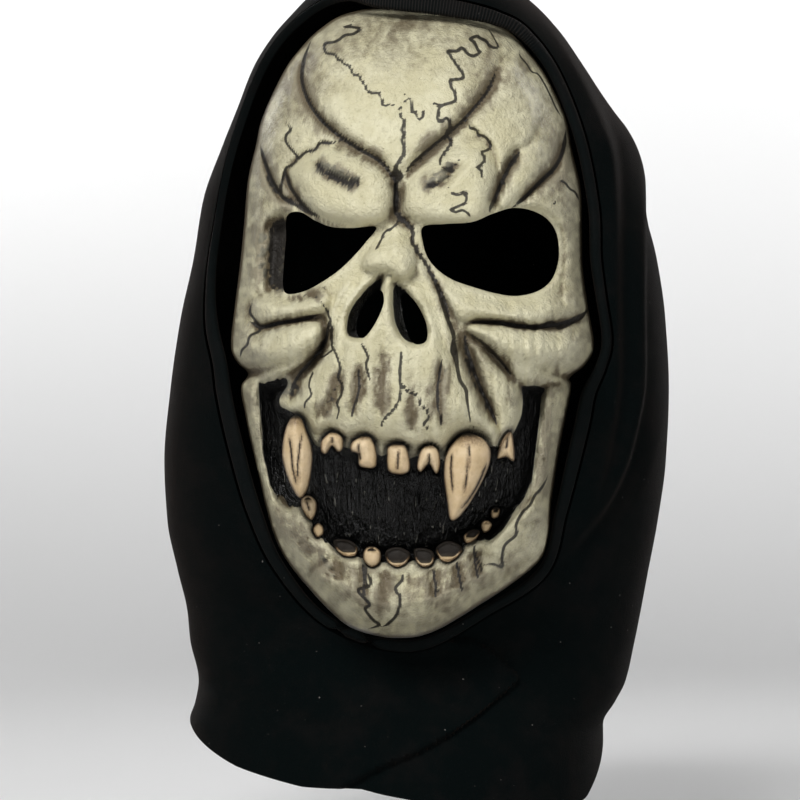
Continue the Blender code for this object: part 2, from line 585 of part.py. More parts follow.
def round_grid(body, segments):
    """A flat grid of squares with its corners drawn in to a round disc of radius one."""
    made = bmesh.ops.create_grid(body, x_segments=segments, y_segments=segments, size=1.0)
    for vert in made["verts"]:
        x, y = vert.co.x, vert.co.y
        vert.co.x = x * math.sqrt(1 - y * y / 2)
        vert.co.y = y * math.sqrt(1 - x * x / 2)


def double_sheet(body):
    """Doubles the flat sheet into a closed body whose second face waits at BACK_FLAG above it."""
    made = bmesh.ops.extrude_face_region(body, geom=list(body.faces), use_keep_orig=True)
    for vert in (item for item in made["geom"] if isinstance(item, bmesh.types.BMVert)):
        vert.co.z += BACK_FLAG


def disc_places(body):
    """Direction and share of the radius of each vert of a round grid."""
    flat = np.array([vert.co[:] for vert in body.verts])
    turn = np.arctan2(flat[:, 1], flat[:, 0])
    return turn, np.clip(np.hypot(flat[:, 0], flat[:, 1]), 0, 1), flat[:, 2]


def move_verts(body, across, down, height):
    for vert, *point in zip(body.verts, across, down, height):
        vert.co = place(*point)


def hole_cutter(hole, material):
    """A prism along the line of sight that cuts one hole through the latex."""
    path = curve(hole.outline, closed=True, step=6.0)
    cutter = bmesh.new()
    base = cutter.faces.new([cutter.verts.new((u, v, 0.0)) for u, v in path])
    made = bmesh.ops.extrude_face_region(cutter, geom=[base], use_keep_orig=True)
    for vert in (item for item in made["geom"] if isinstance(item, bmesh.types.BMVert)):
        vert.co.z = CUTTER_TOP
    for vert in cutter.verts:
        vert.co = place(*vert.co)
    face_outward(cutter)
    item = add_object(hole.name, cutter, material)
    item.hide_render = True
    item.display_type = "WIRE"
    return item


def build_face(chart, outer, inner, material):
    shell = bmesh.new()
    round_grid(shell, FACE_GRID)
    border = [edge for edge in shell.edges if edge.is_boundary]
    straight = bmesh.ops.extrude_edge_only(shell, edges=border)
    for vert in (item for item in straight["geom"] if isinstance(item, bmesh.types.BMVert)):
        vert.co.z = EDGE_FLAG
    double_sheet(shell)
    turn, share, flag = disc_places(shell)
    is_inner = flag > BACK_FLAG / 2
    is_edge = np.where(is_inner, flag - BACK_FLAG, flag) < EDGE_FLAG / 2
    inset = np.where(is_inner, LATEX_WALL / SQUARE, 0.0)
    reach = (outline_radius(turn) - inset) * np.sin(share * math.pi / 2)
    across = FACE_MIDDLE[0] + reach * np.cos(turn)
    down = FACE_MIDDLE[1] - reach * np.sin(turn)
    height = np.where(is_inner, chart.sample(inner, across, down), chart.sample(outer, across, down))
    height = np.where(is_edge, -EDGE_DEPTH / SQUARE, height)
    move_verts(shell, across, down, height)
    face_outward(shell)
    triangles = sum(len(face.verts) - 2 for face in shell.faces)
    face = add_object("face_shell", shell, material)
    thin = face.modifiers.new("fewer_faces", "DECIMATE")
    thin.ratio = FACE_TRIANGLES / triangles
    for hole in HOLES:
        cut = face.modifiers.new(hole.name, "BOOLEAN")
        cut.operation = "DIFFERENCE"
        cut.solver = "EXACT"
        cut.object = hole_cutter(hole, material)
    return face


def build_tooth(tooth, chart, outer, material):
    path = curve(tooth.outline, closed=True, step=4.0)
    middle = path.mean(axis=0)
    edge_turn = np.arctan2(middle[1] - path[:, 1], path[:, 0] - middle[0])
    order = np.argsort(edge_turn)
    radius = np.hypot(path[:, 0] - middle[0], path[:, 1] - middle[1])
    body = bmesh.new()
    round_grid(body, TOOTH_GRID)
    double_sheet(body)
    turn, share, flag = disc_places(body)
    reach = np.interp(turn, edge_turn[order], radius[order], period=2 * math.pi) * share
    across = middle[0] + reach * np.cos(turn)
    down = middle[1] - reach * np.sin(turn)
    thick = tooth.thick * TOOTH_WALL / SQUARE
    crest = float(chart.sample(outer, *tooth.gum)) + tooth.lift
    back = np.maximum(crest - thick, lowest_free(chart, outer, across, down))
    front = np.maximum(crest - thick * TOOTH_ROUNDING * share ** 2, back + thick * TOOTH_EDGE)
    move_verts(body, across, down, np.where(flag > BACK_FLAG / 2, back, front))
    face_outward(body)
    item = add_object(tooth.name, body, material)
    item.data.shade_smooth()
    return item


def lowest_free(chart, outer, across, down):
    """Height just clear of the latex round each chart point."""
    ring = [(math.cos(k * math.pi / 4), math.sin(k * math.pi / 4)) for k in range(8)]
    best = chart.sample(outer, across, down)
    for reach in CLEAR_REACHES:
        for dx, dy in ring:
            best = np.maximum(best, chart.sample(outer, across + reach * dx, down + reach * dy))
    return best + FIT_GAP / SQUARE


def hood_section(rise):
    """Middle, half width, front and back of the hood at heights above the sight line."""
    scale = sight_scale(HOOD_WIDEST * HOOD_DEPTH)
    rises = [(SIGHT[1] - level.down) * SQUARE * scale for level in HOOD_LEVELS][::-1]
    columns = []
    for name in ("left", "right", "front", "back"):
        columns.append(np.interp(rise, rises, [getattr(level, name) for level in HOOD_LEVELS][::-1]))
    left, right, front, back = columns
    side_left = (left - SIGHT[0]) * SQUARE * scale
    side_right = (right - SIGHT[0]) * SQUARE * scale
    return (side_left + side_right) / 2, (side_right - side_left) / 2, front * HOOD_DEPTH, -back * HOOD_DEPTH


def cloth_toward(across, down):
    """How far the cloth's front stands before the hood's axis at chart points."""
    toward = np.full(np.shape(across), AXIS_TO_EDGE)
    for _ in range(6):
        square = SQUARE * sight_scale(toward)
        middle, half, front, back = hood_section((SIGHT[1] - down) * square)
        reach = np.clip(np.abs((across - SIGHT[0]) * square - middle) / half, 0, SIDE_LIMIT)
        bulge = (1 - reach ** HOOD_SQUARENESS) ** (1 / HOOD_SQUARENESS)
        toward = (front + back) / 2 + (front - back) / 2 * bulge
    return toward


def fold_lift(across, down):
    """How far the folds and the flap push the cloth out at chart points, in squares."""
    lift = np.zeros(np.shape(across))
    for fold in FOLDS:
        path = curve(fold.line, closed=False, step=FOLD_STEP)
        distance, along, side, _ = path_distance(across, down, path, closed=False)
        fade = np.clip(np.minimum(along, 1 - along) * 6, 0, 1)
        rising = np.clip(1 - distance / fold.reach, 0, 1) ** 1.5
        dropped = np.clip(distance / FOLD_DROP, 0, 1)
        falling = 1 - (1 + FOLD_DIP) * dropped * dropped * (3 - 2 * dropped)
        falling = np.where(dropped < 1, falling, -FOLD_DIP * np.clip(2 - distance / FOLD_DROP, 0, 1))
        lift += fold.rise * fade * np.where(side > 0, rising, falling)
    path = curve(FLAP_EDGE, closed=False, step=FOLD_STEP)
    distance, _, side, _ = path_distance(across, down, path, closed=False)
    under = np.clip(1 - distance / FLAP_FADE, 0, 1)
    return lift - np.where(side < 0, FLAP_STEP * under, 0)


def hood_points(turn, share):
    """Space points of the hood's outer face, by the angle round it and the share of its height."""
    foot = np.interp(turn, [point.turn for point in HOOD_FOOT], [point.down for point in HOOD_FOOT])
    crown = HOOD_LEVELS[0].down
    down = crown + (foot - crown) * share ** CROWN_CROWDING
    rise = (SIGHT[1] - down) * SQUARE * sight_scale(HOOD_WIDEST * HOOD_DEPTH)
    middle, half, front, back = hood_section(rise)
    angle = np.radians(turn)
    power = 2 / HOOD_SQUARENESS
    out_side = half * np.sign(np.sin(angle)) * np.abs(np.sin(angle)) ** power
    out_toward = (front - back) / 2 * np.sign(np.cos(angle)) * np.abs(np.cos(angle)) ** power
    side, toward = middle + out_side, (front + back) / 2 + out_toward
    square = SQUARE * sight_scale(toward)
    lift = fold_lift(SIGHT[0] + side / square, SIGHT[1] - rise / square)
    shown = np.clip(out_toward / FOLD_SHOW + 0.5, 0, 1)
    nape = NAPE_WAVE * np.sin(angle * NAPE_WAVES) * np.clip((share - NAPE_FROM) / (1 - NAPE_FROM), 0, 1)
    push = (lift * shown + nape * np.clip(-np.cos(angle), 0, 1)) * SQUARE
    push *= np.clip(share / CROWN_PLAIN, 0, 1)
    length = np.hypot(out_side, out_toward) + 1e-9
    return turned(side + push * out_side / length, toward + push * out_toward / length, rise)


def build_hood(material):
    sheet = bmesh.new()
    bmesh.ops.create_grid(sheet, x_segments=HOOD_COLUMNS, y_segments=HOOD_ROWS, size=1.0)
    flat = np.array([vert.co[:2] for vert in sheet.verts])
    for vert, *point in zip(sheet.verts, *hood_points(flat[:, 0] * 180.0, (1 - flat[:, 1]) / 2)):
        vert.co = point
    bmesh.ops.remove_doubles(sheet, verts=sheet.verts, dist=SQUARE * 0.1)
    bmesh.ops.recalc_face_normals(sheet, faces=sheet.faces)
    crown = max(sheet.faces, key=lambda face: face.calc_center_median().z)
    if crown.normal.z < 0:
        bmesh.ops.reverse_faces(sheet, faces=sheet.faces)
    triangles = sum(len(face.verts) - 2 for face in sheet.faces)
    hood = add_object("hood", sheet, material)
    thin = hood.modifiers.new("fewer_faces", "DECIMATE")
    thin.ratio = HOOD_SHEET_TRIANGLES / triangles
    wall = hood.modifiers.new("cloth_wall", "SOLIDIFY")
    wall.thickness = CLOTH_WALL
    wall.offset = -1.0
    cut = hood.modifiers.new("face_opening", "BOOLEAN")
    cut.operation = "DIFFERENCE"
    cut.solver = "EXACT"
    cut.object = opening_cutter(material)
    hood.data.shade_smooth()
    return hood


def opening_edges(spread):
    """Inner and outer edges of the hem round the face on the chart, the outer one spread further."""
    turns = np.radians([point.turn for point in FACE_OPENING])
    reach = outline_radius(turns) + [point.clear for point in FACE_OPENING]
    knots = zip(FACE_MIDDLE[0] + reach * np.cos(turns), FACE_MIDDLE[1] - reach * np.sin(turns),
                [point.width for point in FACE_OPENING])
    path = curve(knots, closed=True, step=HEM_STEP)
    ahead = np.roll(path, -1, axis=0)[:, :2] - np.roll(path, 1, axis=0)[:, :2]
    out = np.column_stack([-ahead[:, 1], ahead[:, 0]]) / np.hypot(ahead[:, 0], ahead[:, 1])[:, None]
    return path[:, :2], path[:, :2] + out * (path[:, 2] + spread)[:, None]


def opening_cutter(material):
    """A prism along the line of sight that opens the hood round the face and its hem."""
    _, outer_edge = opening_edges(FIT_GAP / SQUARE)
    cutter = bmesh.new()
    base = cutter.faces.new([cutter.verts.new((u, v, OPENING_FLOOR)) for u, v in outer_edge])
    made = bmesh.ops.extrude_face_region(cutter, geom=[base], use_keep_orig=True)
    for vert in (item for item in made["geom"] if isinstance(item, bmesh.types.BMVert)):
        vert.co.z = CUTTER_TOP
    for vert in cutter.verts:
        vert.co = place(*vert.co)
    face_outward(cutter)
    item = add_object("hood_opening", cutter, material)
    item.hide_render = True
    item.display_type = "WIRE"
    return item


def build_hem(chart, outer, material):
    """The flat hem round the face opening, whose brow stretch lies on the mask's forehead."""
    inner_edge, outer_edge = opening_edges(0.0)
    count = len(inner_edge)
    face_path = curve(FACE_OUTLINE, closed=True)
    edges = []
    for line in (inner_edge, outer_edge):
        height = (cloth_toward(line[:, 0], line[:, 1]) - AXIS_TO_EDGE) / SQUARE
        _, _, _, inside = path_distance(line[:, 0], line[:, 1], face_path, closed=True)
        clear = lowest_free(chart, outer, line[:, 0], line[:, 1]) + HEM_WALL / SQUARE * HEM_LEAN
        seated = np.where(inside, np.maximum(height, clear), height)
        height = seated
        for _ in range(HEM_EVENING):
            height = (np.roll(height, 1) + 2 * height + np.roll(height, -1)) / 4
        height = np.where(inside, np.maximum(height, seated), height)
        edges.append(np.array(place(line[:, 0], line[:, 1], height)).T)
    along = np.roll(edges[0], -1, axis=0) - np.roll(edges[0], 1, axis=0)
    inward = edges[0] - edges[1]
    normal = np.cross(inward, along)
    normal /= np.linalg.norm(normal, axis=1)[:, None]
    facing = normal @ np.array((math.sin(FACE_TURN), -math.cos(FACE_TURN), 0.0))
    normal *= np.sign(facing)[:, None]
    lean = np.sqrt(1 - facing ** 2) / np.abs(facing)
    narrowing = inward / np.linalg.norm(inward, axis=1)[:, None] * (HEM_WALL / 2 * lean)[:, None]
    edges[0] -= narrowing
    edges[1] += narrowing
    section = ((0, 0.5), (1, 0.5), (1, -0.5), (0, -0.5))
    hem = bmesh.new()
    bmesh.ops.create_grid(hem, x_segments=count, y_segments=len(section), size=1.0)
    for vert in hem.verts:
        station = round((vert.co.x + 1) / 2 * count) % count
        corner = section[round((vert.co.y + 1) / 2 * len(section)) % len(section)]
        vert.co = edges[corner[0]][station] + normal[station] * HEM_WALL * corner[1]
    bmesh.ops.remove_doubles(hem, verts=hem.verts, dist=SQUARE * 0.1)
    face_outward(hem)
    return add_object("face_hem", hem, material)


def build_model():
    clear_scene()
    chart, outer, inner = face_fields()
    build_face(chart, outer, inner, make_material("latex_bone", BONE, 0.55))
    enamel = make_material("tooth_ivory", TOOTH_BONE, 0.45)
    for tooth in TEETH:
        build_tooth(tooth, chart, outer, enamel)
    build_hood(make_material("black_fleece", BLACK_CLOTH, 0.95))
    build_hem(chart, outer, make_material("ribbed_hem", RIBBED_CLOTH, 0.9))


if __name__ == "__main__":
    build_model()
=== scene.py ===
import math
from collections import namedtuple

import bmesh
import bpy
import numpy as np
from bpy.props import FloatProperty, FloatVectorProperty, PointerProperty
from bpy.types import Operator, Panel, PropertyGroup
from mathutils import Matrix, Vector


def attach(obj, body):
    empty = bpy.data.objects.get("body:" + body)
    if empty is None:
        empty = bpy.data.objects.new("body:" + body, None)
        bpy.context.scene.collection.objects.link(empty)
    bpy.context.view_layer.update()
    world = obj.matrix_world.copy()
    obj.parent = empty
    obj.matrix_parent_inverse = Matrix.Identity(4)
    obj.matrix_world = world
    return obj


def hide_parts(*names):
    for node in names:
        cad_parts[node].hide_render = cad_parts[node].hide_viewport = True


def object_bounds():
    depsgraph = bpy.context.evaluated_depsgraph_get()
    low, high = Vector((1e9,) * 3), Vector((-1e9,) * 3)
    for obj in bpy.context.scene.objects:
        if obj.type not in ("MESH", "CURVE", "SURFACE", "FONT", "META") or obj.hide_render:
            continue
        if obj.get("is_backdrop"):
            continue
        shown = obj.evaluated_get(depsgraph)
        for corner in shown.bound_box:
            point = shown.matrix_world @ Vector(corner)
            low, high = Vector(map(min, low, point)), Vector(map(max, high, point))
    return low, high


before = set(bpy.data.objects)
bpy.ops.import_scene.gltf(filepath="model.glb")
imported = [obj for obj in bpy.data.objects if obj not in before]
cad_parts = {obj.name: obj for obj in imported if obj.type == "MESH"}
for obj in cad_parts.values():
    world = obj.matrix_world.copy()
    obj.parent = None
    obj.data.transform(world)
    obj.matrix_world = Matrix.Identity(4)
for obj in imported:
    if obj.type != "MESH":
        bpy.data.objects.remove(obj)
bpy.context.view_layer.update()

bl_info = {
    "name": "Skull Mask",
    "version": (1, 0, 0),
    "blender": (4, 5, 0),
    "location": "View3D > Sidebar > Skull Mask",
    "description": "Builds a painted latex skull mask with a black fleece hood",
    "category": "Add Mesh",
}

# The chart: a flat drawing of the mask as it is seen from in front, counted in squares to the
# right and down. Heights above the chart are counted in squares too.
CHART_TALL = 630.0
SIGHT = (400.0, 400.0)
FACE_MIDDLE = (412.0, 330.0)
CHART_LEFT, CHART_RIGHT = 205.0, 620.0
CHART_TOP, CHART_FOOT = -15.0, 655.0
CHART_SHIFT = 0.008
DOME_POWER = 2.5
EDGE_ROUNDING = 0.06
FINE = 2

FACE_COLUMNS, FACE_ROWS = 232, 336
LINING_COLUMNS, LINING_ROWS = 110, 84
EDGE_RINGS = 4
BACK_FLAG = 10.0
CUTTER_TOP = 260.0
OPENING_FLOOR = -95.0
UP, LEFT, DOWN, RIGHT = 90.0, 180.0, -90.0, 0.0

FACE_OUTLINE = (
    (410, 6), (378, 7), (352, 12), (334, 19), (314, 34), (300, 49), (287, 66), (272, 95), (261, 122),
    (256, 145), (248, 180), (244, 225), (240, 265), (235, 305), (231, 345), (237, 362), (248, 374),
    (241, 388), (246, 418), (252, 447), (260, 480), (266, 507), (275, 538), (287, 561), (306, 585),
    (328, 609), (350, 627), (378, 636), (398, 638), (420, 636), (443, 627), (473, 609), (510, 585),
    (540, 560), (549, 535), (552, 500), (560, 447), (571, 390), (570, 378), (586, 364), (594, 345),
    (588, 306), (583, 268), (582, 230), (581, 190), (572, 150), (567, 122), (556, 95), (540, 66),
    (512, 34), (490, 22), (465, 12), (440, 7),
)

# Raised forms: how far each stands up, and how wide its rounded edge is where it is crisp and
# where it melts into the face, on the side that the angle names.
Form = namedtuple("Form", "name lift crisp soft soft_side outline")
FORMS = (
    Form("forehead_dome", 15, 14, 70, UP, (
        (400, 0), (345, 12), (313, 38), (303, 58), (302, 80), (308, 98), (318, 115), (335, 132), (357, 148),
        (380, 162), (394, 182), (400, 192), (405, 180), (420, 160), (440, 142), (462, 124), (478, 106),
        (490, 90), (498, 70), (500, 45), (490, 20), (450, 2))),
    Form("temple_left", 9, 9, 30, 120.0, (
        (299, 62), (285, 78), (272, 103), (262, 130), (262, 150), (270, 175), (281, 196), (288, 196),
        (284, 180), (288, 168), (298, 157), (312, 150), (325, 142), (342, 142), (328, 130), (312, 112),
        (303, 95), (299, 78))),
    Form("brow_left", 24, 20, 26, UP, (
        (298, 158), (310, 150), (325, 142), (345, 142), (365, 150), (381, 163), (391, 180), (394, 195),
        (391, 210), (382, 221), (362, 224), (340, 221), (322, 217), (309, 209), (299, 197), (291, 183),
        (288, 170))),
    Form("brow_right", 24, 20, 26, UP, (
        (403, 195), (406, 180), (415, 168), (428, 158), (445, 150), (462, 141), (478, 138), (490, 146),
        (497, 165), (498, 190), (493, 210), (484, 223), (468, 226), (448, 225), (428, 223), (414, 219),
        (405, 209))),
    Form("forehead_right", 12, 12, 60, 60.0, (
        (516, 152), (530, 110), (548, 100), (562, 118), (565, 135), (562, 150), (555, 165), (540, 180),
        (525, 196), (513, 206), (500, 209), (496, 200), (501, 182), (508, 166))),
    Form("temple_right", 11, 8, 22, 60.0, (
        (500, 60), (520, 50), (540, 80), (545, 110), (530, 140), (512, 152), (505, 166), (498, 182),
        (498, 165), (492, 146), (480, 136), (466, 120), (480, 104), (494, 86))),
    Form("orbit_rim_right", 12, 9, 20, RIGHT, (
        (565, 152), (575, 168), (582, 190), (583, 230), (583, 270), (588, 300), (578, 312), (564, 302),
        (563, 280), (565, 255), (562, 230), (549, 213), (531, 206), (519, 205), (531, 192), (548, 177),
        (558, 166))),
    Form("orbit_rim_left", 10, 8, 18, LEFT, (
        (260, 150), (250, 166), (245, 190), (245, 220), (243, 250), (238, 292), (250, 300), (257, 292),
        (260, 270), (263, 240), (267, 222), (282, 210), (298, 206), (290, 203), (279, 198), (268, 178))),
    Form("nasal_bone", 24, 12, 34, UP, (
        (393, 208), (401, 222), (411, 240), (416, 258), (411, 276), (400, 279), (388, 273), (374, 272),
        (364, 269), (361, 262), (369, 248), (379, 235), (388, 222))),
    Form("nose_side_left", 8, 9, 14, UP, (
        (384, 226), (374, 243), (362, 262), (352, 285), (340, 305), (334, 325), (330, 345), (326, 330),
        (330, 308), (338, 290), (352, 270), (368, 247))),
    Form("nose_side_right", 9, 8, 14, UP, (
        (412, 232), (424, 252), (436, 275), (446, 298), (453, 322), (458, 345), (450, 352), (443, 330),
        (436, 305), (424, 282), (414, 262))),
    Form("cheek_rim_left", 20, 13, 15, UP, (
        (252, 300), (262, 296), (285, 297), (308, 294), (324, 289), (332, 299), (324, 312), (300, 319),
        (275, 323), (262, 325), (253, 316), (250, 308))),
    Form("cheekbone_left", 30, 26, 26, LEFT, (
        (234, 322), (250, 320), (260, 327), (285, 322), (308, 320), (322, 326), (323, 342), (312, 358),
        (295, 369), (272, 377), (252, 376), (238, 366), (230, 352), (231, 336))),
    Form("cheek_rim_right", 16, 13, 20, UP, (
        (436, 278), (455, 290), (490, 300), (530, 301), (556, 292), (578, 290), (588, 303), (581, 316),
        (560, 321), (535, 326), (505, 322), (478, 320), (460, 321), (448, 305))),
    Form("cheekbone_right", 30, 28, 28, RIGHT, (
        (472, 324), (500, 324), (530, 328), (560, 325), (580, 318), (590, 310), (596, 335), (594, 357),
        (583, 372), (562, 381), (540, 385), (520, 381), (505, 367), (490, 352), (476, 340), (468, 331))),
    Form("upper_jaw", 34, 30, 40, UP, (
        (340, 300), (332, 330), (320, 357), (306, 376), (294, 396), (287, 410), (303, 416), (316, 432),
        (330, 428), (345, 436), (363, 432), (380, 441), (396, 440), (412, 446), (428, 444), (442, 448),
        (455, 434), (475, 429), (493, 440), (498, 430), (490, 410), (480, 390), (468, 365), (459, 340),
        (449, 315), (440, 295), (428, 280), (410, 272), (390, 266), (368, 270), (352, 283))),
    Form("jaw_root_right", 14, 10, 12, UP, (
        (468, 336), (480, 344), (495, 355), (508, 372), (516, 390), (517, 415), (511, 428), (501, 434),
        (493, 415), (484, 395), (476, 375), (470, 355))),
    Form("chin", 30, 34, 40, UP, (
        (310, 580), (326, 562), (350, 558), (385, 568), (440, 566), (465, 558), (492, 555), (505, 575),
        (482, 600), (455, 618), (425, 634), (398, 638), (370, 635), (342, 619))),
    Form("jaw_left", 10, 14, 20, DOWN, (
        (272, 515), (290, 512), (304, 516), (316, 538), (334, 556), (328, 590), (300, 578), (282, 552))),
    Form("jaw_right", 12, 14, 20, DOWN, (
        (548, 500), (548, 535), (538, 560), (510, 582), (490, 580), (478, 558), (492, 540), (512, 520),
        (530, 500))),
    Form("jaw_strip_left", 12, 8, 10, LEFT, (
        (241, 386), (255, 386), (257, 430), (263, 468), (271, 498), (280, 518), (272, 530), (260, 495),
        (251, 450), (244, 415))),
    Form("jaw_strip_right", 13, 10, 12, RIGHT, (
        (546, 388), (571, 388), (568, 410), (560, 447), (553, 485), (549, 515), (535, 520), (520, 520),
        (534, 490), (540, 460), (543, 430))),
)

# Sunk places: how deep each is, and how wide its sloping wall is.
Pocket = namedtuple("Pocket", "name depth wall outline")
POCKETS = (
    Pocket("mouth", 52, 13, (
        (256, 384), (258, 430), (263, 467), (272, 500), (288, 514), (302, 512), (312, 530), (330, 549),
        (350, 558), (374, 564), (400, 566), (438, 563), (460, 556), (474, 544), (492, 543), (507, 528),
        (522, 508), (533, 488), (539, 460), (542, 430), (546, 402), (547, 385), (530, 383), (517, 383),
        (518, 405), (511, 428), (498, 444), (480, 440), (462, 442), (448, 456), (436, 452), (420, 452),
        (411, 455), (396, 447), (381, 452), (365, 443), (350, 446), (334, 436), (319, 442), (306, 418),
        (291, 408), (282, 402), (290, 386), (286, 376), (268, 379))),
    Pocket("socket_left", 30, 16, (
        (263, 222), (280, 210), (300, 209), (322, 219), (345, 225), (378, 224), (372, 240), (358, 256),
        (342, 272), (325, 285), (305, 295), (280, 297), (261, 295), (259, 270), (262, 240))),
    Pocket("socket_right", 20, 12, (
        (418, 226), (440, 220), (468, 219), (490, 212), (510, 205), (530, 206), (549, 214), (560, 230),
        (564, 255), (560, 275), (551, 288), (537, 296), (515, 300), (493, 298), (472, 293), (452, 285),
        (436, 275), (425, 262), (419, 245))),
    Pocket("nostril_left", 50, 12, (
        (382, 272), (370, 279), (357, 292), (346, 308), (342, 325), (344, 338), (355, 343), (364, 341),
        (376, 326), (383, 308), (386, 292), (387, 278))),
    Pocket("nostril_right", 50, 12, (
        (389, 278), (400, 281), (413, 291), (424, 307), (431, 324), (432, 338), (425, 348), (411, 348),
        (399, 341), (391, 326), (388, 306), (388, 290))),
    Pocket("brow_dimple_left", 13, 14, (
        (306, 160), (318, 156), (332, 166), (350, 173), (364, 178), (371, 184), (360, 190), (345, 192),
        (330, 188), (317, 176))),
    Pocket("brow_dimple_right", 12, 12, (
        (418, 186), (430, 179), (440, 176), (441, 167), (452, 158), (464, 156), (474, 160), (464, 175),
        (453, 187), (440, 191), (428, 190))),
    Pocket("cheek_pit_left", 14, 12, (
        (312, 312), (322, 312), (330, 320), (330, 336), (322, 350), (308, 362), (300, 366), (312, 350),
        (322, 336), (320, 324))),
)

# Grooves that run along a line and fade out at both ends, and how black the line in each is.
Crease = namedtuple("Crease", "name depth width ink line")
CREASES = (
    Crease("dome_left", 9, 8, 0.75, ((311, 40), (304, 60), (302, 80), (308, 100), (320, 118), (336, 133),
                               (358, 148), (380, 161), (392, 176), (396, 190))),
    Crease("dome_right", 9, 9, 0.55, ((497, 68), (488, 90), (474, 108), (461, 122), (445, 136), (428, 150),
                                (411, 165), (402, 180))),
    Crease("brow_middle", 12, 7, 1, ((396, 165), (396, 180), (397, 200), (397, 215), (405, 222),
                                  (412, 232))),
    Crease("nose_right", 9, 6, 0.5, ((412, 232), (416, 248), (428, 268), (440, 292), (448, 318), (454, 340),
                                (459, 370))),
    Crease("temple_right", 11, 8, 0.8, ((521, 150), (510, 166), (502, 182), (494, 200), (488, 214))),
    Crease("temple_outer", 12, 9, 0.85, ((566, 130), (563, 150), (555, 167), (540, 182), (525, 197),
                                   (512, 208))),
    Crease("temple_left", 10, 7, 0.8, ((260, 145), (266, 165), (273, 182), (284, 198), (298, 206),
                                  (312, 216))),
    Crease("temple_left_inner", 7, 6, 0.7, ((286, 172), (290, 186), (298, 198), (308, 210), (320, 218))),
    Crease("cheek_left", 10, 7, 0.95, ((250, 322), (262, 327), (280, 323), (300, 320), (318, 315))),
    Crease("cheek_right", 10, 6, 0.9, ((470, 322), (500, 323), (530, 327), (560, 324), (582, 315),
                                  (590, 307))),
    Crease("cheek_under_right", 14, 10, 0.6, ((464, 330), (466, 345), (472, 365), (480, 387), (490, 408),
                                         (498, 428))),
    Crease("cheek_edge_right", 12, 8, 0.25, ((468, 333), (484, 344), (500, 360), (512, 376))),
    Crease("cheek_under_left", 14, 9, 0.5, ((328, 322), (326, 340), (314, 358), (300, 374), (290, 390))),
    Crease("furrow_1", 11, 8, 0.2, ((338, 372), (334, 392), (325, 408), (318, 422))),
    Crease("furrow_2", 10, 7, 0.25, ((358, 366), (359, 388), (355, 404), (350, 420))),
    Crease("furrow_3", 4, 7, 0.1, ((383, 345), (383, 380), (382, 420))),
    Crease("furrow_4", 9, 6, 0.2, ((412, 390), (412, 410), (411, 436))),
    Crease("furrow_5", 10, 6, 0.3, ((442, 358), (438, 385), (438, 405), (443, 430))),
    Crease("chin_1", 9, 9, 0.35, ((362, 562), (364, 580), (364, 598))),
    Crease("chin_2", 9, 9, 0.35, ((432, 566), (435, 582), (436, 600))),
    Crease("chin_3", 8, 8, 0.4, ((456, 560), (459, 575), (462, 592))),
    Crease("chin_4", 7, 7, 0.3, ((474, 548), (475, 562), (478, 580))),
    Crease("chin_5", 5, 8, 0.1, ((384, 568), (385, 590), (385, 606))),
    Crease("chin_6", 8, 9, 0.2, ((336, 556), (340, 570), (342, 582))),
)

# Holes cut right through the latex.
Hole = namedtuple("Hole", "name outline")
HOLES = (
    Hole("left_eye_hole", (
        (287, 216), (300, 212), (316, 221), (332, 227), (352, 228), (376, 227), (366, 242), (352, 258),
        (338, 271), (322, 282), (305, 291), (288, 294), (283, 286), (284, 262), (286, 238))),
    Hole("right_eye_hole", (
        (423, 227), (445, 224), (472, 222), (492, 214), (512, 208), (530, 210), (546, 218), (556, 232),
        (559, 254), (555, 273), (547, 285), (533, 293), (514, 296), (494, 293), (473, 287), (453, 280),
        (438, 270), (428, 258), (423, 243))),
    Hole("left_nostril_hole", (
        (380, 290), (384, 300), (380, 314), (371, 330), (363, 338), (357, 334), (358, 318), (367, 300))),
    Hole("right_nostril_hole", (
        (402, 294), (411, 297), (421, 311), (427, 327), (426, 341), (415, 344), (408, 334), (403, 316))),
)
